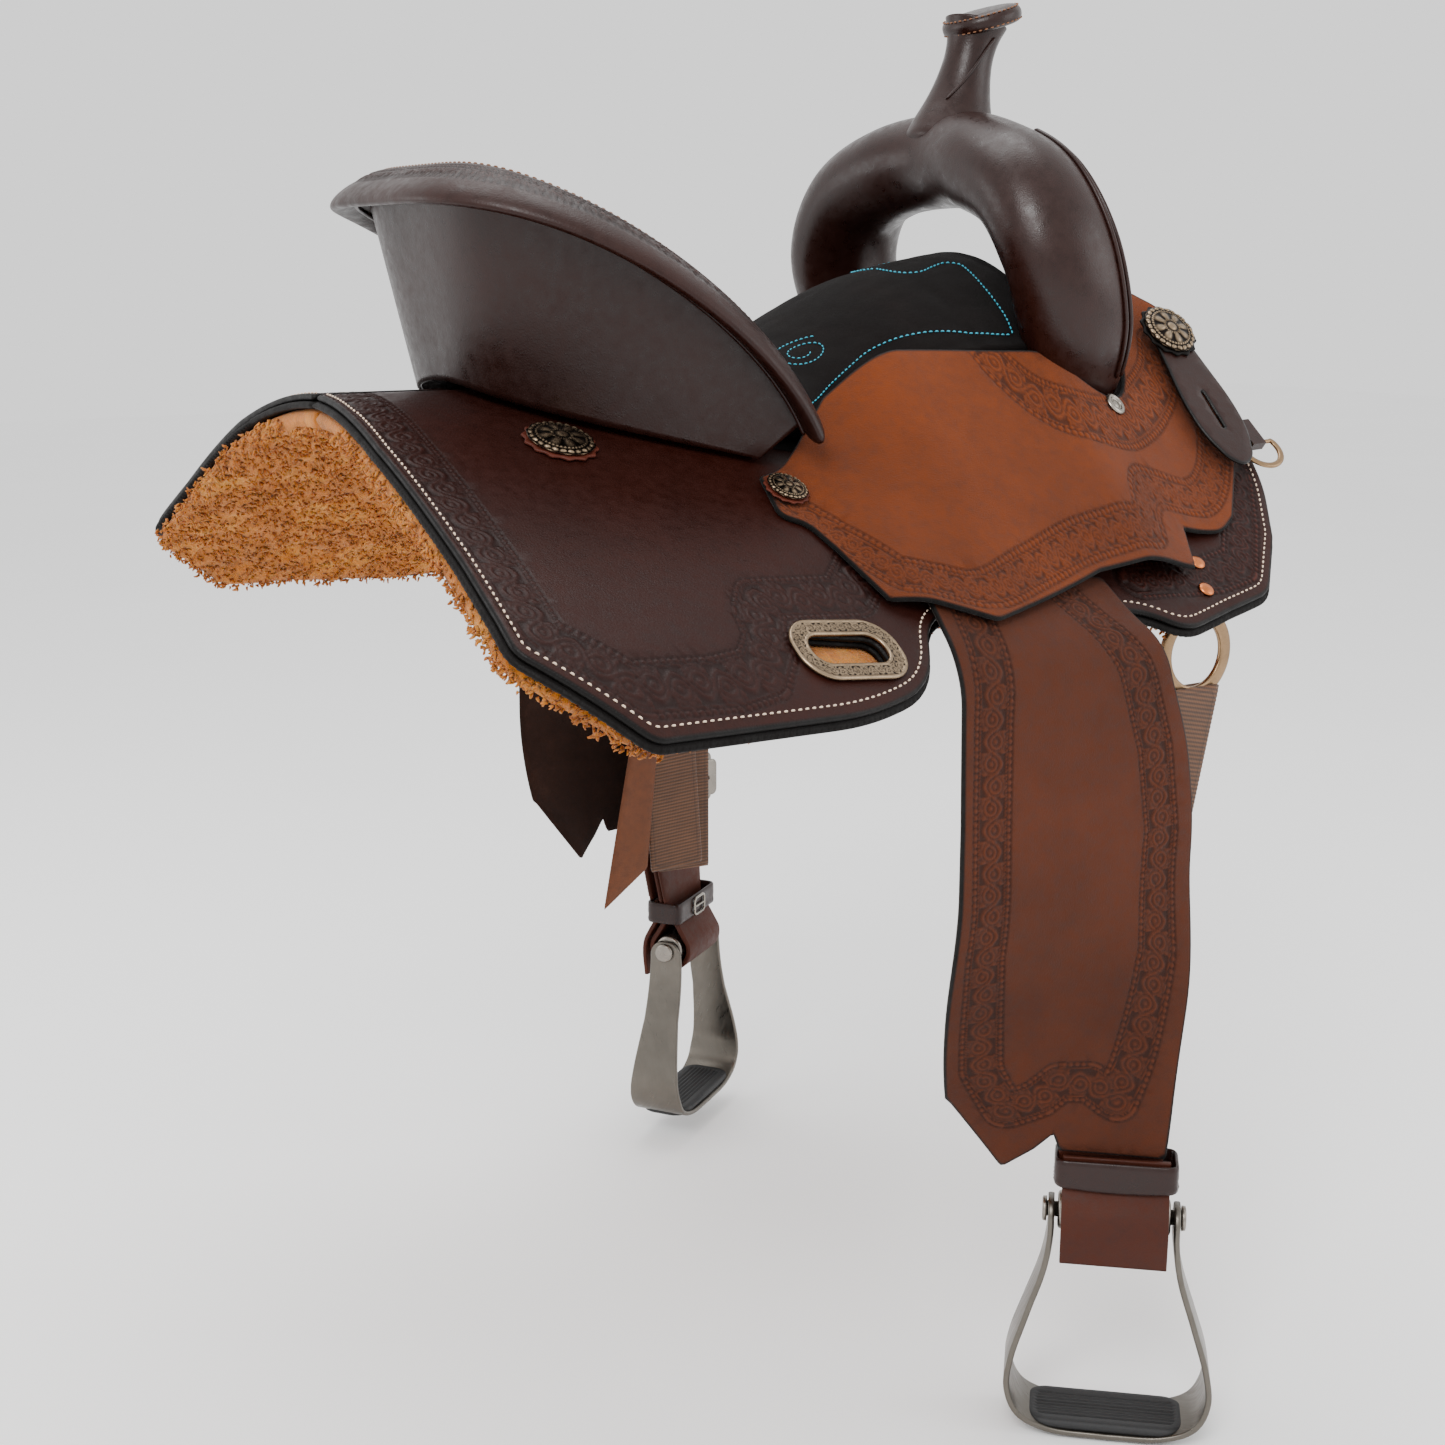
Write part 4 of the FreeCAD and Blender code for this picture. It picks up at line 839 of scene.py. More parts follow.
slot_flat = stadium(52, 19, 7) + PLATE_SPOT
skirt_inner = inset(skirt_outline, 2.5, 3.0)
rear_band = [(-289, -4), (-296, -114), (-298, -226), (-300, -280), (-262, -310), (-205, -304), (-178, -297),
             (-162, -280), (-158, -262), (-146, -246), (-112, -243), (-82, -240), (-66, -226), (-50, -210)]
front_band = [(150, -228), (219, -229), (252, -224), (282, -194), (305, -165), (322, -118), (322, -70)]
skirt_sheet = sheet(skirt_inner, ON_BACK, -4.5, 0, 9, holes=[slot_flat],
                    bands=[Band(rear_band, 15.5), Band(front_band, 13)], relief=0.9)
both_sides("skirt_leather", skirt_sheet["verts"], skirt_sheet["faces"], "saddle", "leather_skirt",
           "leather_skirt", ["skirt_%s"], tool=skirt_sheet["tool"], edge=skirt_sheet["edge"])
edge_sheet = sheet(skirt_outline, ON_BACK, -9.0, -4.7, 14, holes=[slot_flat], step=4.5)
both_sides("skirt_bound_edge", edge_sheet["verts"], edge_sheet["faces"], "saddle", "leather_black",
           "leather_black", ["skirt_edge_%s"])
seam = inset(skirt_outline, 8.5, 3.0)
seam = seam[seam[:, 1] < -62]
gaps = np.hypot(*(np.roll(seam, -1, axis=0) - seam).T)
seam = np.roll(seam, -(int(gaps.argmax()) + 1), axis=0)
spine = [(-302, -6), (-306, -60)]
seam = np.vstack([spine, seam]) if seam[0][0] < 0 else np.vstack([seam, spine[::-1]])
line, normals = row_on(ON_BACK, seam, 0.1)
verts, faces = stitch_mesh(line, normals, 2.6, 2.4, 0.6)
both_sides("skirt_stitching", verts, faces, "saddle", "leather_skirt", "cream_thread")

fleece_outline = rounded(FLEECE, FLEECE_ROUND)


def lumps(points, scale, seed):
    """Smooth random field: a sum of sine waves in random directions."""
    rng = np.random.default_rng(seed)
    total = np.zeros(len(points))
    for _ in range(26):
        angle = rng.uniform(0, 2 * math.pi)
        wave = 2 * math.pi / (scale * rng.uniform(0.6, 1.6))
        total += np.sin((points[:, 0] * math.cos(angle) + points[:, 1] * math.sin(angle)) * wave
                        + rng.uniform(0, 6.28))
    return total / math.sqrt(26)


def pile(points):
    """Height of the fleece's lumps."""
    return 1.6 * lumps(points, 34, 3) + 1.2 * lumps(points, 12, 4) + 0.8 * lumps(points, 6, 5)


def fleece_piece():
    """Lumpy pad under a skirt, with short tufts over it and round its rim."""
    pitch = 3.4
    outer = resample(fleece_outline, 5, True)
    top = sheet(fleece_outline, ON_BACK, -21.5, -9.3, pitch, step=5, rim=5.5)
    verts = top["verts"].copy()
    flat = top["flat"]
    base = ON_BACK(flat[:, 0], flat[:, 1], np.zeros(len(flat)))
    below = verts[:, 2] < base[:, 2] - 12
    wave = pile(flat) * smooth(0, 6, top["edge"])
    verts[:, 2] += np.where(below, wave, 0)
    parts = [(verts, top["faces"])]
    tufts = 16000
    low, high = outer.min(0), outer.max(0)
    spots = RNG.uniform(low, high, (tufts * 3, 2))
    spots = spots[inside(spots, outer)][:tufts]
    rim_spots = resample(fleece_outline, 1.3, True)
    rim_spots = rim_spots + RNG.normal(0, 1.5, rim_spots.shape)
    rim_spots = rim_spots[(rim_spots[:, 1] < -50)]
    middle = np.array([-20.0, -150.0])
    for group, rim in ((spots, False), (rim_spots, True),
                       (rim_spots + RNG.normal(0, 1.2, rim_spots.shape), True)):
        count = len(group)
        depth = RNG.uniform(-20, -11, count) if rim else pile(group) - 21.2
        root = ON_BACK(group[:, 0], group[:, 1], depth)
        normal = ON_BACK(group[:, 0], group[:, 1], depth - 1) - root
        out = np.zeros((count, 3))
        if rim:
            flat_out = group - middle
            flat_out /= np.hypot(*flat_out.T)[:, None]
            out[:, :2] = flat_out
        drift = RNG.normal(0, 1, (count, 3))
        length = RNG.uniform(2.0, 4.2, count) if rim else RNG.uniform(1.8, 3.6, count)
        heading = normal * (0.5 if rim else 0.75) + out * (0.55 if rim else 0.0) + drift * 0.5
        heading /= np.linalg.norm(heading, axis=1)[:, None]
        bend = np.cross(heading, RNG.normal(0, 1, (count, 3)))
        bend /= np.linalg.norm(bend, axis=1)[:, None]
        width = RNG.uniform(0.7, 1.3, count)
        other = np.cross(heading, bend)
        rings = []
        for share, size, curl in ((0.0, 1.0, 0.0), (0.6, 1.0, 0.3), (1.0, 0.6, 0.8)):
            centre = root + heading * (length * share)[:, None] + bend * (length * curl * 0.6)[:, None]
            rings.append([centre + (width * size)[:, None] * (math.cos(a) * bend + math.sin(a) * other)
                          for a in (0, 2.094, 4.189)])
        block = np.array(rings)
        points = block.transpose(2, 0, 1, 3).reshape(-1, 3)
        tuft = [(r + k, r + (k + 1) % 3, r + 3 + (k + 1) % 3, r + 3 + k) for r in (0, 3) for k in range(3)]
        tuft += [(6, 7, 8), (2, 1, 0)]
        parts.append((points, [tuple(9 * i + corner for corner in face) for i in range(count)
                               for face in tuft]))
    return joined(parts)


verts, faces = fleece_piece()
for piece in both_sides("fleece_lining", verts, faces, "saddle", "fleece", "fleece", ["fleece_%s"]):
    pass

def crest(t):
    """Point of the cantle's top edge, t from -1 (off side) to 1 (near side)."""
    turn = np.radians(86.0 * t)
    y = 152 * np.sign(turn) * np.abs(np.sin(turn)) ** 0.8
    part = np.minimum(1, np.abs(y) / 152)
    return rows_of(-243 + 196 * part ** 4.5, y, 156 * (1 - part ** 6) ** 0.62)


def crest_run(t):
    return crest(np.minimum(1, t + 0.01)) - crest(np.maximum(-1, t - 0.01))


def crest_out(t):
    """Level unit vector away from the seat."""
    ahead = crest_run(t)
    out = rows_of(-ahead[..., 1], ahead[..., 0], 0 * t)
    out /= np.linalg.norm(out, axis=-1)[..., None]
    return out * np.where(ahead[..., 1] > 0, 1, -1)[..., None]


def cantle_point(t, v, depth):
    """Point at t along the cantle and v up it, depth mm in front of its back."""
    y = 136 * np.sin(np.radians(86.0 * t))
    x = -224 + 150 * (np.abs(y) / 136) ** 3.2
    low = rows_of(x, y, jockey_top(x, y) + 1.0)
    out = crest_out(t)
    high = crest(t) + out * 5
    return low + (high - low) * v[..., None] - out * depth[..., None]


# ---- Seat jockeys and the seat ----
JOCKEY = [(-62, -142), (-84, -150), (-92, -184), (-76, -190), (-70, -208), (-60, -250), (6, -271),
          (110, -243), (204, -232), (216, -208), (252, -208), (270, -199), (292, -178), (326, -145),
          (332, -118), (322, -72), (300, -55), (262, -64), (246, -112), (222, -136), (190, -138),
          (158, -126), (60, -122), (-20, -123)]
JOCKEY_ROUND = {2: 14, 3: 6, 6: 4, 10: 12, 12: 14, 13: 14, 14: 20, 15: 20, 17: 10, 18: 25, 19: 25, 20: 20,
                21: 30, 22: 60}
jockey_outline = rounded(JOCKEY, JOCKEY_ROUND)
lower_band = spline([(-42, -239), (-18, -247), (8, -253), (56, -241), (104, -228), (150, -221), (176, -216),
                     (184, -202), (198, -190), (224, -187), (250, -186), (278, -170), (304, -138),
                     (310, -108)], 60)
lower_band = np.vstack([[(-78, -172), (-62, -206), (-45, -235)], lower_band])
foot_band = spline([(106, -112), (113, -132), (127, -149), (144, -158), (166, -161), (196, -156), (230, -142),
                    (258, -126), (278, -112), (292, -96)], 60)
jockey_sheet = sheet(jockey_outline, ON_JOCKEY, -3.5, 0, 9,
                     bands=[Band(lower_band, 11.5), Band(foot_band, 14.5)], relief=0.8)
both_sides("seat_jockey_leather", jockey_sheet["verts"], jockey_sheet["faces"], "saddle", "leather_jockey",
           "leather_jockey", ["seat_jockey_%s"], tool=jockey_sheet["tool"], edge=jockey_sheet["edge"])

def seat_back(depth=25.0):
    """Plan line where the seat runs into the cantle's padded face."""
    line = []
    v = np.linspace(0, 1, 240)
    for t in np.linspace(-0.93, 0.93, 61):
        points = cantle_point(np.full_like(v, t), v, np.full_like(v, depth))
        rise = points[:, 2] - seat_top(points[:, 0], points[:, 1])
        line.append(points[int(np.argmax(rise > 0)) if (rise > 0).any() else -1, :2])
    return line


SEAT = [(-30, -121.5), (20, -120), (124, -121), (162, -121), (180, -110), (180, -60)]
SEAT += [(x, -y) for x, y in reversed(SEAT)] + [tuple(p) for p in seat_back()[::-1]]
seat_outline = inset(rounded(SEAT, {2: 20, 3: 10, 4: 12, 7: 12, 8: 10, 9: 20}), 0.5, 4)


def seat_shape(points, edge):
    """Soft quilting lift, sunk along the sewn line near the edge."""
    front = smooth(-60, -20, points[:, 0])
    seam_line = np.exp(-((edge - 6.5) / 1.8) ** 2) * front
    puff = 1.2 * smooth(6, 26, edge) * front
    ripple = 0.25 * lumps(points, 30, 9)
    return puff * 0.6 - 0.9 * seam_line + ripple, np.full(len(points), UNCUT)


seat_sheet = sheet(seat_outline, ON_SEAT, -15.3, 0, 12, shape=seat_shape, fine=4.0, step=4, rim=3.5)
seat_piece = make("suede_seat", seat_sheet["verts"], seat_sheet["faces"], "saddle", "suede", "suede",
                  ["seat_cover", "seat_foam"])
parts = []
SIDE_ROW = [(-30, -114), (-15, -107), (5, -97), (24, -91), (41, -88), (56, -90), (77, -97), (97, -104),
            (117, -109), (143, -112)]
FRONT_ROW = [(143, -112), (147, -100), (149, -85), (151, -68), (154, -50), (155, -38), (148, -31), (136, -33),
             (122, -37), (114, -32), (110, -18), (111, 0)]
for side in (-1, 1):
    for nodes in (SIDE_ROW, FRONT_ROW):
        line, normals = row_on(ON_SEAT, spline([(x, -side * y) for x, y in nodes], 90), 1.0)
        parts.append(stitch_mesh(line, normals, 2.6, 1.5, 0.5))
angles = np.linspace(0.4, 3.8 * math.pi, 90)
radius = 17 * (0.22 + 0.78 * angles / angles[-1])
for side in (-1, 1):
    scroll = np.stack([8 + radius * np.cos(angles) * 1.35, side * (60 + radius * np.sin(angles))], 1)
    line, normals = row_on(ON_SEAT, scroll, 0.9)
    parts.append(stitch_mesh(line, normals, 2.4, 1.3, 0.42))
verts, faces = joined(parts)
make("seat_stitching", verts, faces, "saddle", "suede", "blue_thread")

# ---- Cantle: smooth back, padded face and the rolled rim with its tooled strip ----
def plate_grid(near, far, top, columns, rows, puff=0.0):
    """Closed plate between two depths of the cantle, a little crowned on its far side."""
    t, v = np.meshgrid(np.linspace(-1, 1, columns), np.linspace(0, top, rows), indexing="ij")
    skins = []
    for depth, lift in ((near, 0.0), (far, puff)):
        crown = lift * np.sin(np.pi * np.clip(v / top, 0, 1)) * (1 - t ** 6)
        skins.append(cantle_point(t, v, np.full_like(t, float(depth)) + crown).reshape(-1, 3))
    count = columns * rows
    faces = grid_faces(columns, rows)
    faces += [tuple(count + i for i in reversed(f)) for f in grid_faces(columns, rows)]
    border = [(i, 0) for i in range(columns)] + [(columns - 1, j) for j in range(1, rows)]
    border += [(i, rows - 1) for i in range(columns - 2, -1, -1)] + [(0, j) for j in range(rows - 2, 0, -1)]
    ids = [i * rows + j for i, j in border]
    for a, b in zip(ids, ids[1:] + ids[:1]):
        faces.append((a, b, count + b, count + a))
    return np.vstack(skins), faces


verts, faces = plate_grid(0, 3, 0.95, 121, 30)
make("cantle_back_leather", verts, faces, "saddle", "leather_dark", "leather_dark", ["cantle_back"])
verts, faces = plate_grid(18.9, 30.2, 0.97, 97, 30, 1.5)
face_piece = make("cantle_face_pad", verts, faces, "saddle", "suede", "suede", ["cantle_face"])


def roll_frame(t):
    """Middle, width direction and thickness direction of the rolled rim."""
    out = crest_out(t)
    middle = crest(t) + out * 7 + rows_of(0 * t, 0 * t, -11.5 - 4 * t * t)
    across = out * 0.86 + np.array([0, 0, -0.5])
    across /= np.linalg.norm(across, axis=-1)[..., None]
    ahead = crest_run(t)
    ahead /= np.linalg.norm(ahead, axis=-1)[..., None]
    up = np.cross(ahead, across)
    up /= np.linalg.norm(up, axis=-1)[..., None]
    up *= np.where(up[..., 2] < 0, -1, 1)[..., None]
    return middle, across, up


ROLL_HALF, STRIP_HALF = 21.0, 8.2
columns, rows = ((560, 96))
t = np.linspace(-0.985, 0.985, columns)
middle, across, up = roll_frame(t)
along = np.concatenate([[0], np.cumsum(np.linalg.norm(np.diff(middle, axis=0), axis=1))])
angles = ring_angles(rows)
flat = np.sign(np.cos(angles)) * np.abs(np.cos(angles)) ** 0.8
rise = np.sin(angles)
taper = np.sqrt(np.clip(1 - np.clip((np.abs(t) - 0.955) / 0.032, 0, 1) ** 2, 0.05, 1))
half_wide = ROLL_HALF * taper
half_thick = 6.0 * taper
w_band = flat[None] * ROLL_HALF + 5.0
u_band = np.repeat(along[:, None], rows, axis=1)
w_band = w_band.repeat(columns, 0)
carve = carved(u_band.ravel(), w_band.ravel(), STRIP_HALF).reshape(columns, rows)
on = (np.abs(w_band) < STRIP_HALF) & (rise > 0)[None] & (np.abs(t) < 0.93)[:, None]
tool = np.where(on, carve, UNCUT)
relief = np.where(on, (carve - 0.85) * 0.8, 0)
points = (middle[:, None] + across[:, None] * (half_wide[:, None] * flat[None])[..., None]
          + up[:, None] * (half_thick[:, None] * rise[None] + relief)[..., None])
verts, faces = tube_mesh(points)
tool = np.concatenate([tool.ravel(), [UNCUT, UNCUT]])
make("cantle_roll_leather", verts, faces, "saddle", "leather_dark", "dark_tooled", ["cantle_roll"],
     tool=tool, edge=np.full(len(verts), 9.0))
middle, across, up = roll_frame(np.linspace(-0.95, 0.95, 400))
verts, faces = stitch_mesh(middle - across * (ROLL_HALF * 0.93) + up * 2.6, up - across * 0.5, 3.0, 1.8, 0.55)
make("cantle_roll_stitching", verts, faces, "saddle", "leather_dark", "brown_thread")
middle, across, up = roll_frame(np.linspace(-0.97, 0.97, 240))
verts, faces = tube_mesh(cord_rings(middle - up * 6.6 + across * 6, 1.5, 8))
make("cantle_back_welt", verts, faces, "saddle", "leather_dark", "leather_dark")

# ---- Swell, welts and horn ----
ARCH = [(202, -104, 4, 33, 20), (198, -112, 30, 40, 26), (187, -124, 62, 46, 30), (173, -124, 104, 45, 32),
        (167, -98, 144, 42, 33), (168, -52, 164, 38, 33), (178, 0, 170, 38, 33)]
ARCH += [(x, -y, z, half, thick) for x, y, z, half, thick in reversed(ARCH[:-1])]
line = spline(ARCH, 150)
ahead = np.gradient(line[:, :3], axis=0)
ahead[:, 0] = 0
ahead /= np.linalg.norm(ahead, axis=1)[:, None]
outward = np.stack([0 * ahead[:, 0], -ahead[:, 2], ahead[:, 1]], 1)
SEAM_TURN = math.radians(57)


def swell_point(i, turn, swell=0.0):
    """Point of the swell's skin at one section and angle about it; swell lifts it."""
    x, y, z, half, thick = line[i]
    out = outward[i]
    return (np.array([x, y, z]) + np.array([1.0, 0, 0]) * (half + swell) * math.cos(turn)
            + out * (thick + swell) * math.sin(turn))


rings = []
for i in range(len(line)):
    low = min(1.0, max(0.0, (165 - line[i][2]) / 30))
    ring = []
    for turn in ring_angles(72):
        gap = abs(math.atan2(math.sin(turn - SEAM_TURN), math.cos(turn - SEAM_TURN)))
        ring.append(swell_point(i, turn, -0.9 * math.exp(-(gap / 0.05) ** 2) * low))
    rings.append(ring)
verts, faces = tube_mesh(rings)
make("swell_leather", verts, faces, "saddle", "leather_dark", "leather_dark", ["swell_cover"])
parts = []
for turn in (1, -1):
    for degrees in (52, 62):
        path = np.array([swell_point(i, math.radians(degrees), 0.9) for i in range(len(line))
                         if line[i][1] < -60 and 28 < line[i][2] < 160]) * (1, turn, 1)
        parts.append(tube_mesh(cord_rings(resample(path, 2.5), 1.7, 10)))
verts, faces = joined(parts)
make("swell_welt_cords", verts, faces, "saddle", "leather_dark", "leather_dark", ["swell_welts"])

NECK = leaned((176, 0, 184), 14)
CAP = leaned((201, 0, 266), -17)
NECK_PROFILE = [(30, -10), (33, -4), (30.5, 5), (27.6, 13), (24.6, 21), (21.8, 30), (19.4, 40), (17.8, 50),
                (17.2, 58), (17.6, 66), (19.2, 74), (22, 82)]
verts, faces = turned_piece(spline(NECK_PROFILE, 60), NECK, 72)
make("horn_wrap_leather", verts, faces, "saddle", "leather_dark", "leather_dark", ["horn_wrap"])
profile = [(3, -6.4), (22, -6.3), (25.4, -5.6), (27.6, -3.6), (28.3, -0.6), (28.0, 2.0), (26.4, 4.6),
           (23, 6.2), (14, 7.2), (5, 7.5), (0.5, 7.6)]
verts, faces = turned_piece(spline(profile, 60), CAP, 96)
make("horn_cap_leather", verts, faces, "saddle", "leather_dark", "leather_dark", ["horn_cap"])
angles = np.linspace(0, 2 * math.pi, 121)
parts = []
for radius, height in ((26.6, 4.9), (27.4, -4.0)):
    ring = rows_of(radius * np.cos(angles), radius * np.sin(angles), np.full(121, height))
    out = rows_of(np.cos(angles), np.sin(angles), np.full(121, 0.8 if height > 0 else -0.5))
    points = placed(ring, CAP)
    parts.append(stitch_mesh(points, placed(ring + out, CAP) - points, 2.4, 1.8, 0.5))
seam = []
for share in np.linspace(0, 1, 40):
    height = 22 + 50 * share
    radius = np.interp(height, [p[1] for p in NECK_PROFILE], [p[0] for p in NECK_PROFILE]) + 0.4
    turn = math.radians(-150 + 75 * share)
    seam.append([radius * math.cos(turn), radius * math.sin(turn), height])
verts, faces = joined(parts)
make("horn_cap_stitching", verts, faces, "saddle", "leather_dark", "brown_thread")
verts, faces = tube_mesh(cord_rings(placed(np.array(seam), NECK), 1.1, 8))
make("horn_wrap_seam", verts, faces, "saddle", "leather_dark", "leather_dark")

# ---- Fenders and stirrup leathers, in the frame of the hanging leather ----
HANGS = {
    "right": {"x": 45, "turn": 42, "short": 0},
    "left": {"x": 62, "turn": 34, "short": 20},
}
BEND_Z, BEND_R, BEND_SLOPE = -152.0, 46.0, math.radians(37)
BEND_ARC = BEND_R * (math.pi / 2 - BEND_SLOPE)
LEATHER_S = 9.0  # the leathers' middle, ahead of the fender's
RAISED, SWUNG = 75, 0.185  # how far the near fender is pushed up, and its swing back on the leather
TAIL_HALF = 34


def on_leather(side):
    """Folding rule of the hanging leather: s along its width, z up it, d out from the horse."""
    way = HANGS[side]

    def place(s, z, d):
        s, z = np.asarray(s, float), np.asarray(z, float)
        share = np.clip((-110 - z) / 390, 0, 1)
        turn = np.radians(way["turn"]) * smooth(0.40, 1.0, (-110 - z) / 390)
        x = way["x"] + 50 * share + s * np.cos(turn) - d * np.sin(turn)
        y = 283 + s * np.sin(turn) + d * np.cos(turn)
        height = z + way["short"] * share
        run = BEND_ARC - (z - BEND_Z)
        angle = math.pi / 2 - BEND_SLOPE - np.clip(run, 0, BEND_ARC) / BEND_R
        slope_run = np.minimum(run, 0)
        bent_y = BEND_R - 283 - np.cos(angle) * (BEND_R + d) - np.sin(angle) * slope_run
        bent_z = BEND_Z + np.sin(angle) * (BEND_R + d) - np.cos(angle) * slope_run
        bent_z = bent_z + way["short"] * share - 0.10 * (x - 60) * (1 - smooth(-20, 40, run)) * (z > BEND_Z)
        above = z > BEND_Z
        return rows_of(x, np.where(above, bent_y, -y), np.where(above, bent_z, height))

    return place


def near(side, verts):
    """The points as drawn for the off side, mirrored for the near side."""
    return np.asarray(verts) * (1, 1 if side == "right" else -1, 1)


def pushed_up(points, low):
    """The near fender is the off one, pushed up and swung back on its leather."""
    return [(s + SWUNG * (z + RAISED + 170), z + RAISED) for s, z in points if z + RAISED <= low]


FENDER = {"right": [(-74, -66), (-80, -138), (-89, -224), (-100, -312), (-95, -419), (-92, -422), (-62, -473),
                    (-40, -458), (-27, -446), (-24, -458), (43.5, -461), (56, -398), (83, -326), (97, -248),
                    (95, -194), (84, -150), (76, -66)]}
FENDER["left"] = [(-72, -66), (-82, -138)] + pushed_up(FENDER["right"], -150) + [(88, -138), (74, -66)]
FENDER_BAND = {"right": [(-44, -60), (-52, -110), (-60, -160), (-67, -224), (-76, -312), (-72, -396),
                         (-58, -428), (-36, -419), (-22, -407), (-2, -408), (14, -422), (26, -396),
                         (54, -326), (68, -248), (66, -194), (54, -140), (40, -100), (24, -60)]}
FENDER_BAND["left"] = [(-54, -100), (-58, -150), *pushed_up(FENDER_BAND["right"], -166), (64, -150),
                       (52, -100)]
FENDER_ROUND = {"right": {3: 40, 5: 3, 6: 3, 11: 60, 12: 60, 13: 50, 14: 40}, "left": {}}
for side in ("right", "left"):
    piece = sheet(rounded(FENDER[side], FENDER_ROUND[side]), on_leather(side), -2, 2, 9,
                  bands=[Band(FENDER_BAND[side], 14.5)], relief=0.9, step=3.0)
    obj = make("fender_leather_" + side, near(side, piece["verts"]), piece["faces"], None, "leather_fender",
               "leather_fender", ["fender_top_" + side, "fender_" + side],
               tool=piece["tool"], edge=piece["edge"])
    obj.data.materials.append(PAINTS["flesh"])
    sign = -1 if side == "right" else 1
    # the flesh side shows on the horse's side
    facing = np.empty(len(obj.data.polygons) * 3)
    obj.data.polygons.foreach_get("normal", facing)
    inward = facing.reshape(-1, 3)[:, 1] * sign < -0.25
    obj.data.polygons.foreach_set("material_index", inward.astype(np.int32))
    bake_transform(obj)


def gear_axes(side, z=-505.0, d=-7.0, turned=1.0):
    """Frame on the leathers, at the stirrup's bolt if not told otherwise: X along the bolt, Y inward, Z up."""
    foot = on_leather(side)(np.array([LEATHER_S]), np.array([z]), d)[0]
    turn = -math.radians(HANGS[side]["turn"] * turned)
    return (foot, np.array([math.cos(turn), math.sin(turn), 0]),
            np.array([-math.sin(turn), math.cos(turn), 0]), np.array([0, 0, 1.0]))


def round_corners(count, step):
    """Signs and arc directions of the four round corners of a strap's section."""
    return [(cx, cy, math.cos(math.radians(start + step * k)), math.sin(math.radians(start + step * k)))
            for cx, cy, start in ((1, -1, -90), (1, 1, 0), (-1, 1, 90), (-1, -1, 180)) for k in range(count)]


def strap(path, gauge, half, axes, soft=0.9):
    """Flat strap with round edges whose centre line runs in (d, z)."""
    path = np.asarray(path, float)
    rings = [[(cx * (half - soft) + soft * c, -(d + od * (cy * (gauge / 2 - soft) + soft * s)),
               z + oz * (cy * (gauge / 2 - soft) + soft * s)) for cx, cy, c, s in round_corners(4, 30)]
             for (d, z), (od, oz) in zip(path, normals_of(path, False))]
    return tube_mesh(placed(np.array(rings), axes))


def across_leather(half, top, low):
    """Rectangle over the leathers' width."""
    left, right = LEATHER_S - half, LEATHER_S + half
    return np.array([(left, top), (right, top), (right, low), (left, low)])


def inward_disc(profile, axes, sides=20, at=0.0):
    """Turned piece about Y from (radius, depth), its middle moved along X."""
    rings = [rows_of(at + r * np.cos(ring_angles(sides)), float(depth), r * np.sin(ring_angles(sides)))
             for r, depth in profile]
    return tube_mesh(placed(np.array(rings), axes))


def axle(profile, axes, sides):
    """Turned piece about X from (place, radius)."""
    rings = [rows_of(float(x), r * np.cos(ring_angles(sides)), r * np.sin(ring_angles(sides)))
             for x, r in profile]
    return tube_mesh(placed(np.array(rings), axes))


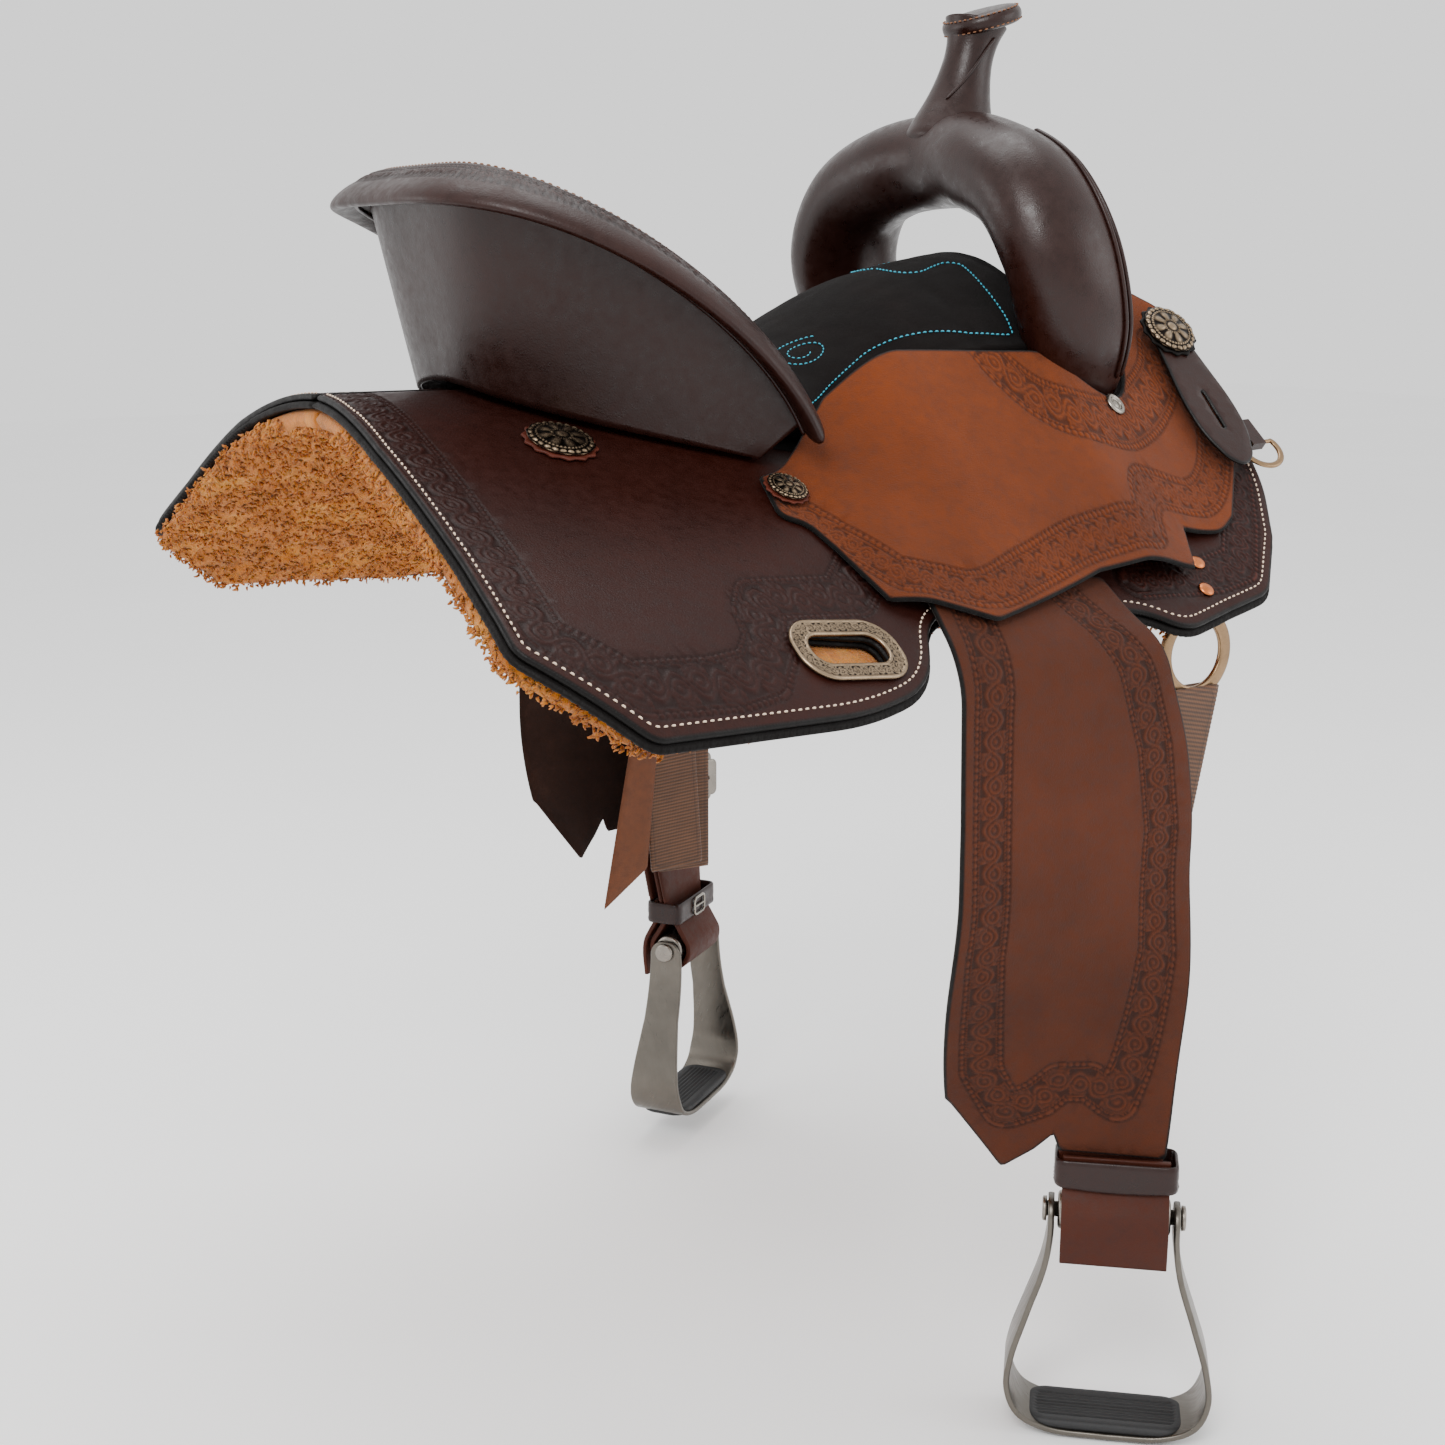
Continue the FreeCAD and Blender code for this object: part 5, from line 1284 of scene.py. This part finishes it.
for side in ("right", "left"):
    axes = gear_axes(side)
    place = on_leather(side)
    body = "fender_assembly_" + side
    tail = [(12, 43.5), (12, 38), (12.1, 31), (13.4, 24), (18.2, 15), (22.6, 6), (24.0, -5), (22.2, -26)]
    parts = [strap(spline(tail, 46), 3.6, TAIL_HALF, axes)]
    if side == "left":
        strip = sheet(across_leather(TAIL_HALF, -388, -459), place, 2.9, 6.4, 6)
        parts.append((strip["verts"], strip["faces"]))
    verts, faces = joined(parts)
    make("stirrup_tail_" + side, near(side, verts), faces, body, "leather_fender", "leather_plain",
         ["fender_" + side])
    parts = []
    for near_d, far_d, top in ((2.6, 6.6, -152), (6.9, 10.9, -352)):
        ply = sheet(rounded(across_leather(33, top, -471), {0: 4, 1: 4}), place, -far_d, -near_d, 9, step=4)
        parts.append((ply["verts"], ply["faces"]))
    drop = [(-3.5, 27)] + [(17.4 * math.cos(a), 17.4 * math.sin(a))
                           for a in np.radians(np.linspace(162, 378, 40))]
    parts.append(strap(resample(drop + [(3.5, 27)], 2.2), 4.2, 32, axes))
    verts, faces = joined(parts)
    make("stirrup_leathers_" + side, near(side, verts), faces, body, "leather_dark", "leather_plain",
         ["stirrup_leather_" + side])
    # hobble strap: a belt about the leathers, with a crimped row low on its outside
    outer_d, inner_d, half = 18.6, -11.0, 38.0
    belt_path = rounded([(-half, outer_d), (half, outer_d), (half, inner_d), (-half, inner_d)],
                        dict.fromkeys(range(4), 6))
    belt_path = resample(belt_path, 2.2, True)
    travel = np.concatenate([[0], np.cumsum(np.hypot(*np.diff(belt_path, axis=0).T))])
    rings = []
    for (across, depth), (ox, oy), run in zip(belt_path, -normals_of(belt_path), travel):
        front = depth > outer_d - 2
        dip = 2.2 * (1 - (across / half) ** 2) if front else 0
        crimp = 0.7 * (0.5 + 0.5 * math.cos(run * 2 * math.pi / 5.2))
        ring = []
        for height, thick in ((24.5 - dip, 0.3), (25.2 - dip, 1.1), (28.0 - dip, 1.2 + crimp),
                              (30.5 - dip, 1.1), (34, 1.4), (39, 1.3), (42.2, 1.1), (43, 0.3)):
            ring.append((across + ox * thick, -(depth + oy * thick), height))
        for height, thick in ((43, -0.3), (42.2, -1.0), (34, -1.1), (25.2 - dip, -1.0), (24.5 - dip, -0.3)):
            ring.append((across + ox * thick, -(depth + oy * thick), height))
        rings.append(ring)
    verts, faces = loop_mesh(placed(np.array(rings), axes))
    make("hobble_belt_" + side, near(side, verts), faces, body, "leather_dark", "leather_dark",
         ["hobble_strap_" + side])
    # hobble buckle: a small square frame with its tongue, on the horse's side
    frame_path = resample(rounded([(-10, 26), (10, 26), (10, 41), (-10, 41)], dict.fromkeys(range(4), 4)),
                          1.2, True)
    centre_line = rows_of(frame_path[:, 0], 13.8, frame_path[:, 1])
    rings = cord_rings(np.vstack([centre_line, centre_line[:1]]), 1.15, 8, False)
    parts = [tube_mesh(placed(np.array(rings), axes))]
    pin = rows_of(np.linspace(-8.5, 9.5, 12), 14.0, 33.5)
    parts.append(tube_mesh(placed(np.array(cord_rings(pin, 0.9, 8)), axes)))
    verts, faces = joined(parts)
    make("hobble_buckle_frame_" + side, near(side, verts), faces, body, "steel", "bright_silver",
         ["hobble_buckle_" + side])
    # leather buckle: plate with two posts and holes, and the sleeve that slides over them
    buckle = gear_axes(side, -350.0, 0.0, float(smooth(0.40, 1.0, (-110 + 350) / 390)))

    def flat_plate(outline, d_in, d_out, holes=(), soft=0.5):
        plate = sheet(outline, lambda a, b, o: rows_of(a, -np.asarray(o, float), b), d_in, d_out, 6,
                      holes=holes, step=2.0, rim=soft)
        return placed(plate["verts"], buckle), plate["faces"]

    holes = [stadium(9, 5, 2.4) + spot for spot in ((-30, -10), (-10, -10), (10, -10), (30, -10), (-20, 14),
                                                    (0, 14), (20, 14))]
    parts = [flat_plate(stadium(86, 44, 6), -16.4, -14.2, holes)]
    parts += [inward_disc([(3.0, 14.2), (3.0, 18.0), (2.4, 18.6), (0.5, 18.7)], buckle, at=x)
              for x in (-30, 30)]
    verts, faces = joined(parts)
    make("buckle_plate_" + side, near(side, verts), faces, body, "steel", "steel", ["leather_buckle_" + side])
    verts, faces = flat_plate(stadium(90, 32, 5), -21.4, -19.2,
                              [stadium(7, 4, 1.9) + (x, 0) for x in (-33, 33)], 0.8)
    make("buckle_sliding_sleeve_" + side, near(side, verts), faces, "buckle_sleeve_" + side, "steel", "steel",
         ["buckle_sleeve_" + side])
    # copper rivets that hold the leather below the buckle
    verts, faces = joined([inward_disc([(4.6, 0.0), (4.4, 1.0), (3.0, 1.9), (0.4, 2.2)],
                                       (place(np.array([s]), np.array([-414.0]), -11.3)[0], *buckle[1:]))
                           for s in (-12.0, 30.0)])
    make("leather_rivets_" + side, near(side, verts), faces, body, "copper", "copper")


# ---- Stirrups ----
STRIP = [(40.3, 9), (40.3, -14), (44, -38), (54, -70), (63, -100), (65, -120), (57, -138), (38, -147),
         (0, -149)]
half_line = spline(STRIP, 60)
full = np.vstack([half_line, (half_line * (-1, 1))[::-1][1:]])
full = resample(full, 2.2)


def ribs(points, edge):
    """Cross ribs of the tread inside a plain rim."""
    wave = 0.5 + 0.5 * np.cos(points[:, 1] * 2 * math.pi / 3.6)
    inner = smooth(5, 8, edge)
    return -1.3 * (1 - wave) ** 2 * inner + 0.4 * (1 - inner), np.full(len(points), UNCUT)


tread = sheet(stadium(104, 43.6, 14, 8), lie_flat, -147.2, -141.2, 9, shape=ribs, fine=1.1,
              step=2.0, rim=1.8)
for side in ("right", "left"):
    axes = gear_axes(side)
    body = "stirrup_" + side
    rings = []
    for (x, z), (ox, oz) in zip(full, normals_of(full, False)):
        wide = np.interp(-z, [-12, 60, 128, 165], [14, 16, 24, 24])
        if z > -4:
            wide = min(wide, math.sqrt(max(1.0, 14.0 ** 2 - (z + 4) ** 2)) + 0.5)
        rings.append([(x + ox * (cy * 0.5 + 1.5 * s), cx * (wide - 1.5) + 1.5 * c,
                       z + oz * (cy * 0.5 + 1.5 * s)) for cx, cy, c, s in round_corners(5, 22.5)])
    verts, faces = tube_mesh(placed(np.array(rings), axes))
    make("stirrup_bell_" + side, near(side, verts), faces, body, "aluminium", "aluminium",
         ["stirrup_" + side])
    bolt = axle([(-46, 6.5), (-45.6, 7.9), (-43.2, 8.2), (-43, 5), (43, 5), (43.2, 8.2), (45.6, 7.9),
                 (46, 6.5)], axes, 28)
    roller = axle([(-36, 10.5), (-35, 12.2), (-33.5, 12.5), (33.5, 12.5), (35, 12.2), (36, 10.5)], axes, 36)
    verts, faces = joined([bolt, roller])
    make("stirrup_bolt_roller_" + side, near(side, verts), faces, body, "steel", "steel",
         ["stirrup_bolt_" + side])
    make("stirrup_ribbed_tread_" + side, near(side, placed(tread["verts"], axes)), tread["faces"], body,
         "rubber", "rubber", ["stirrup_tread_" + side])


# ---- Rings, dees, keeper, conchos, plates, screws and rivets ----
def ring_mesh(profile, axes, sides=96):
    """Turned ring from a closed profile of (radius, height)."""
    rings = []
    for angle in np.linspace(0, 2 * math.pi, sides, endpoint=False):
        rings.append([(r * math.cos(angle), r * math.sin(angle), z) for r, z in profile])
    return loop_mesh(placed(np.array(rings), axes))


band_profile = [(22.0, -1.2), (22.7, -1.9), (24, -2.1), (29.4, -2.1), (30.6, -1.7), (31, -0.6), (31, 0.6),
                (30.6, 1.7), (29.4, 2.1), (24, 2.1), (22.7, 1.9), (22.0, 1.2)]
for side, sign in (("right", -1), ("left", 1)):
    axes = (np.array([198.0, sign * 240.0, -150.0]), *np.array([(1.0, 0, 0), (0, 0, 1.0), (0, -1.0, 0)]))
    verts, faces = ring_mesh(band_profile, axes)
    make("rigging_flat_ring_" + side, verts, faces, "rigging_ring_" + side, "bronze", "bronze",
         ["rigging_ring_" + side])

dee_base = spot_frame(ON_BACK, 336, -152)
dee_axes = (np.array([338.0, -156.0, float(back(338.0, -156.0)) + 3.4]), *dee_base[1:])
dee_line = [(15.75 * math.cos(a), 15.75 * math.sin(a)) for a in np.radians(np.linspace(153, 387, 50))]
dee_line = resample(dee_line + [(13.6, 6.5), (-13.6, 6.5)], 1.5, True)
rings = []
for (x, y), (ox, oy) in zip(dee_line, normals_of(dee_line)):
    half = 2.2 if y < 5.5 else 1.5
    rings.append([(x + ox * half * c, y + oy * half * c, 1.3 + 1.3 * s)
                  for c, s in ((1, -0.5), (1, 0.5), (0.6, 1), (-0.6, 1), (-1, 0.5), (-1, -0.5), (-0.6, -1),
                               (0.6, -1))])
verts, faces = loop_mesh(placed(np.array(rings), dee_axes))
both_sides("front_dee_ring", verts, faces, "front_dee_%s", "bronze", "bronze", ["front_dee_%s"])


def keeper_axes(lift):
    top = ON_JOCKEY(np.array([300.0]), np.array([-90.0]), 0.0)[0]
    tip = np.array([300, -184, float(jockey_top(300.0, -184.0))])
    up = (top - tip) / np.linalg.norm(top - tip)
    ahead = np.array([1, 0, float(jockey_top(314.0, -135.0) - jockey_top(286.0, -135.0)) / 28])
    normal = np.cross(ahead, up)
    normal /= np.linalg.norm(normal)
    return top + normal * lift, np.cross(up, normal), up, normal


KEEPER_EDGE = [(-13, 16), (13, 16), (17, -20), (23, -62), (22, -90), (12, -114), (0, -121), (-12, -114),
               (-22, -90), (-23, -62), (-17, -20)]
keeper = sheet(rounded(KEEPER_EDGE[::-1], {i: 20 for i in range(11)}), lie_flat,
               0, 3, 7, holes=[stadium(2.6, 34, 1.2) + (0, -71)], step=2.0)
both_sides("keeper_leather", placed(keeper["verts"], keeper_axes(7.0)), keeper["faces"], "latigo_keeper_%s",
           "leather_dark", "dark_tooled", ["latigo_keeper_%s"], tool=keeper["tool"], edge=keeper["edge"])


def concho_mesh(radius=20.5, sides=144, rings_count=34):
    """Domed concho: scalloped bead rim, rope ring, fluted petals and a boss."""
    angles = ring_angles(sides)
    rings, tool = [], []
    for share in np.linspace(1, 0.02, rings_count):
        scallop = 1 + 0.028 * np.cos(angles * 12) * smooth(0.8, 1.0, share)
        r = radius * share * scallop
        along = np.mod(angles * 24 / (2 * math.pi), 1) * 2 - 1
        beads = np.clip(1.1 - np.hypot((share - 0.90) / 0.075, along) ** 2, 0, 1)
        petals = (0.5 + 0.5 * np.cos(angles * 8)) * np.exp(-((share - 0.48) / 0.2) ** 2)
        rope = np.exp(-((share - 0.74) / 0.035) ** 2) * (0.6 + 0.4 * np.cos(angles * 40))
        boss = np.exp(-(share / 0.17) ** 4)
        flutes = (0.5 + 0.5 * np.cos(angles * 24)) * np.exp(-((share - 0.3) / 0.06) ** 2) * 0.6
        relief = np.maximum.reduce([beads, petals * 0.9, rope, boss + 0 * angles, flutes])
        dome = 2.2 + 2.6 * (1 - share ** 2)
        rings.append(rows_of(r * np.cos(angles), r * np.sin(angles), dome - 0.9 + relief * 1.1))
        tool.append(np.clip(0.12 + relief, 0, 1))
    base = [rows_of(radius * f * np.cos(angles), radius * f * np.sin(angles), z)
            for f, z in ((0.4, 0.1), (0.97, 0.1), (1.0, 0.9))]
    verts, faces = tube_mesh(np.array(base + rings))
    tool = np.concatenate([np.full(sides * 3, 0.7), np.concatenate(tool), [0.7, 1.0]])
    return verts, faces, tool


def rosette_mesh(radius=23.5, sides=144, lobes=14):
    """Leather flower under a concho."""
    angles = ring_angles(sides)
    edge = radius * (1 - 0.085 * (0.5 - 0.5 * np.cos(angles * lobes)) ** 0.7)
    return tube_mesh([rows_of(share * edge * np.cos(angles), share * edge * np.sin(angles), height)
                      for share, height in ((0.3, 0.0), (0.97, 0.0), (1.0, 0.5), (1.0, 1.4), (0.965, 1.9),
                                            (0.9, 2.0), (0.86, 1.7), (0.82, 2.0), (0.3, 2.0))])


concho_v, concho_f, concho_tool = concho_mesh()
rosette_v, rosette_f = rosette_mesh()
CONCHOS = [("rear", spot_frame(ON_BACK, -200, -112, 0.5), 1.0, "rosette_red"),
           ("jockey", spot_frame(ON_JOCKEY, -76, -165, 2.2), 0.64, "rosette_red"),
           ("front", keeper_axes(10.3), 1.0, "leather_black")]
for spot, axes, scale, paint in CONCHOS:
    both_sides("concho_" + spot, placed(concho_v * scale + (0, 0, 2.3), axes), concho_f, "saddle", "silver",
               "silver", ["conchos"], tool=concho_tool)
    both_sides("rosette_" + spot, placed(rosette_v * scale, axes), rosette_f, "saddle", "leather_dark", paint,
               ["rosettes"])


def plate_shape(points, edge):
    """Bevelled rims and an engraved scroll between them."""
    rim = np.exp(-((edge - 1.0) / 1.0) ** 2)
    far, along, side = project(points, stadium(65, 34, 12), True)
    scroll = carved(along, far * side, 8.4)
    on = edge > 2.2
    return np.where(on, -0.5 + scroll * 0.55, rim * 0.4), np.where(on, 0.1 + scroll * 0.9, 1.0)


plate = sheet(stadium(76, 46, 20, 12), lie_flat, 0, 2.2, 6, holes=[stadium(54, 22, 10, 8)], shape=plate_shape,
              fine=0.9, step=1.6, rim=0.8)
both_sides("slot_plate_engraved", placed(plate["verts"], spot_frame(ON_BACK, *PLATE_SPOT, 0.4)),
           plate["faces"], "saddle", "silver", "silver", ["flank_plates"], tool=plate["tool"])


screw = turned_piece([(8.4, 0), (8.5, 0.8), (7.9, 1.5), (6.9, 2.0), (5.6, 2.1), (5.0, 1.2), (4.6, 0.7),
                      (3.2, 0.7), (2.8, 1.3), (0.3, 1.4)], spot_frame(ON_JOCKEY, 210, -142, 0.3), 48)
post = turned_piece([(3.0, -6.9), (3.0, 2.9)], keeper_axes(7.2), 24)
verts, faces = joined([screw, post])
both_sides("seat_screw", verts, faces, "saddle", "steel", "bright_silver", ["seat_screws"])
parts = [turned_piece([(5.6, 0), (5.5, 0.8), (4.4, 1.5), (2.2, 2.1), (0.2, 2.2)],
                      spot_frame(ON_BACK, x, y, 0.2), 28) for x, y in ((216, -220), (207, -238))]
verts, faces = joined(parts)
both_sides("rigging_rivet_heads", verts, faces, "saddle", "copper", "copper", ["rigging_rivets"])

# ---- Nylon straps ----
def upright(y):
    """Folding rule of a flat strap that hangs in the plane across Y."""
    return lambda a, b, offset: rows_of(a, y + np.asarray(offset, float), b)


def webbing_strap(name, layers, body):
    """Layers of (outline, y, running direction), with the readings that the ribs follow."""
    parts, along, across, edge = [], [], [], []
    for outline, y, axis in layers:
        piece = sheet(np.array(outline, float), upright(y), 0, 2.6, 5, step=3.0, rim=0.9)
        direction = np.array(axis, float) / np.hypot(*axis)
        parts.append((piece["verts"], piece["faces"]))
        along.append(piece["flat"] @ direction)
        across.append(piece["flat"] @ np.array([-direction[1], direction[0]]))
        edge.append(piece["edge"])
    verts, faces = joined(parts)
    make(name, verts, faces, body, "nylon", "nylon", [body], along=np.concatenate(along),
         across=np.concatenate(across), edge=np.concatenate(edge))


billet = [(167, -171.5), (217, -171.5), (167, -400), (142, -415), (117, -400)]
webbing_strap("off_billet_webbing", [(billet, y, (-50, -228)) for y in (-245.8, -236.8)], "off_billet")
loop_a = [(172, -171.5), (222, -171.5), (222, -186), (124, -296), (124, -408), (74, -406), (72, -286)]
loop_b = [(52, -250), (102, -250), (112, -400), (62, -402)]
latigo_end = [(46, -262), (70, -262), (56, -396), (14, -426)]
webbing_strap("latigo_webbing", [(loop_a, 243.2, (0, -1)), (loop_b, 234.2, (0.06, -1))], "latigo")
tail_piece = sheet(np.array(latigo_end, float), upright(230.8), 0, 2.6, 6)
make("latigo_pointed_end", tail_piece["verts"], tail_piece["faces"], "latigo", "leather_fender", "tan_strap",
     ["latigo"])

# ---- CAD nodes that stay: each gets its own finish ----
KEPT = {"hanger_strap_right": "leather_plain", "hanger_strap_left": "leather_plain",
        "dee_tab_right": "leather_dark", "dee_tab_left": "leather_dark", "tree_bar_right": "tree",
        "tree_bar_left": "tree", "tree_cantle": "tree", "tree_fork": "tree", "ground_seat": "leather_black",
        "horn_core": "horn"}
for node, paint in KEPT.items():
    mesh = frame["nodes"][node].data
    mesh.materials.clear()
    mesh.materials.append(PAINTS[paint])

# ---- Stage, lights and camera ----
floor_z = float(CAD_BOX[0][2]) - 0.0015
mesh = bpy.data.meshes.new("floor")
mesh.from_pydata([(-9, -9, floor_z), (9, -9, floor_z), (9, 9, floor_z), (-9, 9, floor_z)], [], [(0, 1, 2, 3)])
floor = bpy.data.objects.new("floor", mesh)
bpy.context.scene.collection.objects.link(floor)
floor_paint = Paint("pale_floor", 0.85)
floor_paint.colour(floor_paint.ramp(floor_paint.noise(2, 3), (0.3, 0.96), (0.7, 0.98)))
mesh.materials.append(floor_paint.done())

world = bpy.data.worlds.new("studio")
bpy.context.scene.world = world
world.use_nodes = True
sky = world.node_tree.nodes["Background"].inputs
sky["Color"].default_value = (1.0, 1.0, 1.0, 1)
sky["Strength"].default_value = 1.3


def softbox(name, place, aim, size, watts):
    data = bpy.data.lights.new(name, "AREA")
    data.shape = "RECTANGLE"
    data.size, data.size_y = size
    data.energy = watts
    lamp = bpy.data.objects.new(name, data)
    lamp.location = place
    lamp.rotation_mode = "QUATERNION"
    lamp.rotation_quaternion = (Vector(aim) - Vector(place)).to_track_quat("-Z", "Y")
    bpy.context.scene.collection.objects.link(lamp)


softbox("key_light", (-1.6, -1.5, 1.7), (0, 0, -0.1), (1.1, 1.1), 55)
softbox("fill_light", (1.8, -1.7, 0.6), (0, 0, -0.2), (1.6, 1.6), 18)
softbox("top_light", (0.2, 0.6, 2.2), (0, 0, 0), (1.8, 1.2), 26)
softbox("rear_light", (-1.9, 1.2, 0.4), (0, 0, -0.1), (1.2, 1.2), 12)

camera_data = bpy.data.cameras.new("camera")
camera_data.lens = 49.8
camera_data.sensor_width = 36
camera = bpy.data.objects.new("camera", camera_data)
camera.location = (-0.750, -1.161, 0.099)
heading, dip = math.radians(32.3), math.radians(12.95)
camera.rotation_mode = "QUATERNION"
camera.rotation_quaternion = Vector((math.sin(heading) * math.cos(dip), math.cos(heading) * math.cos(dip),
                                     -math.sin(dip))).to_track_quat("-Z", "Y")
bpy.context.scene.collection.objects.link(camera)
bpy.context.scene.camera = camera
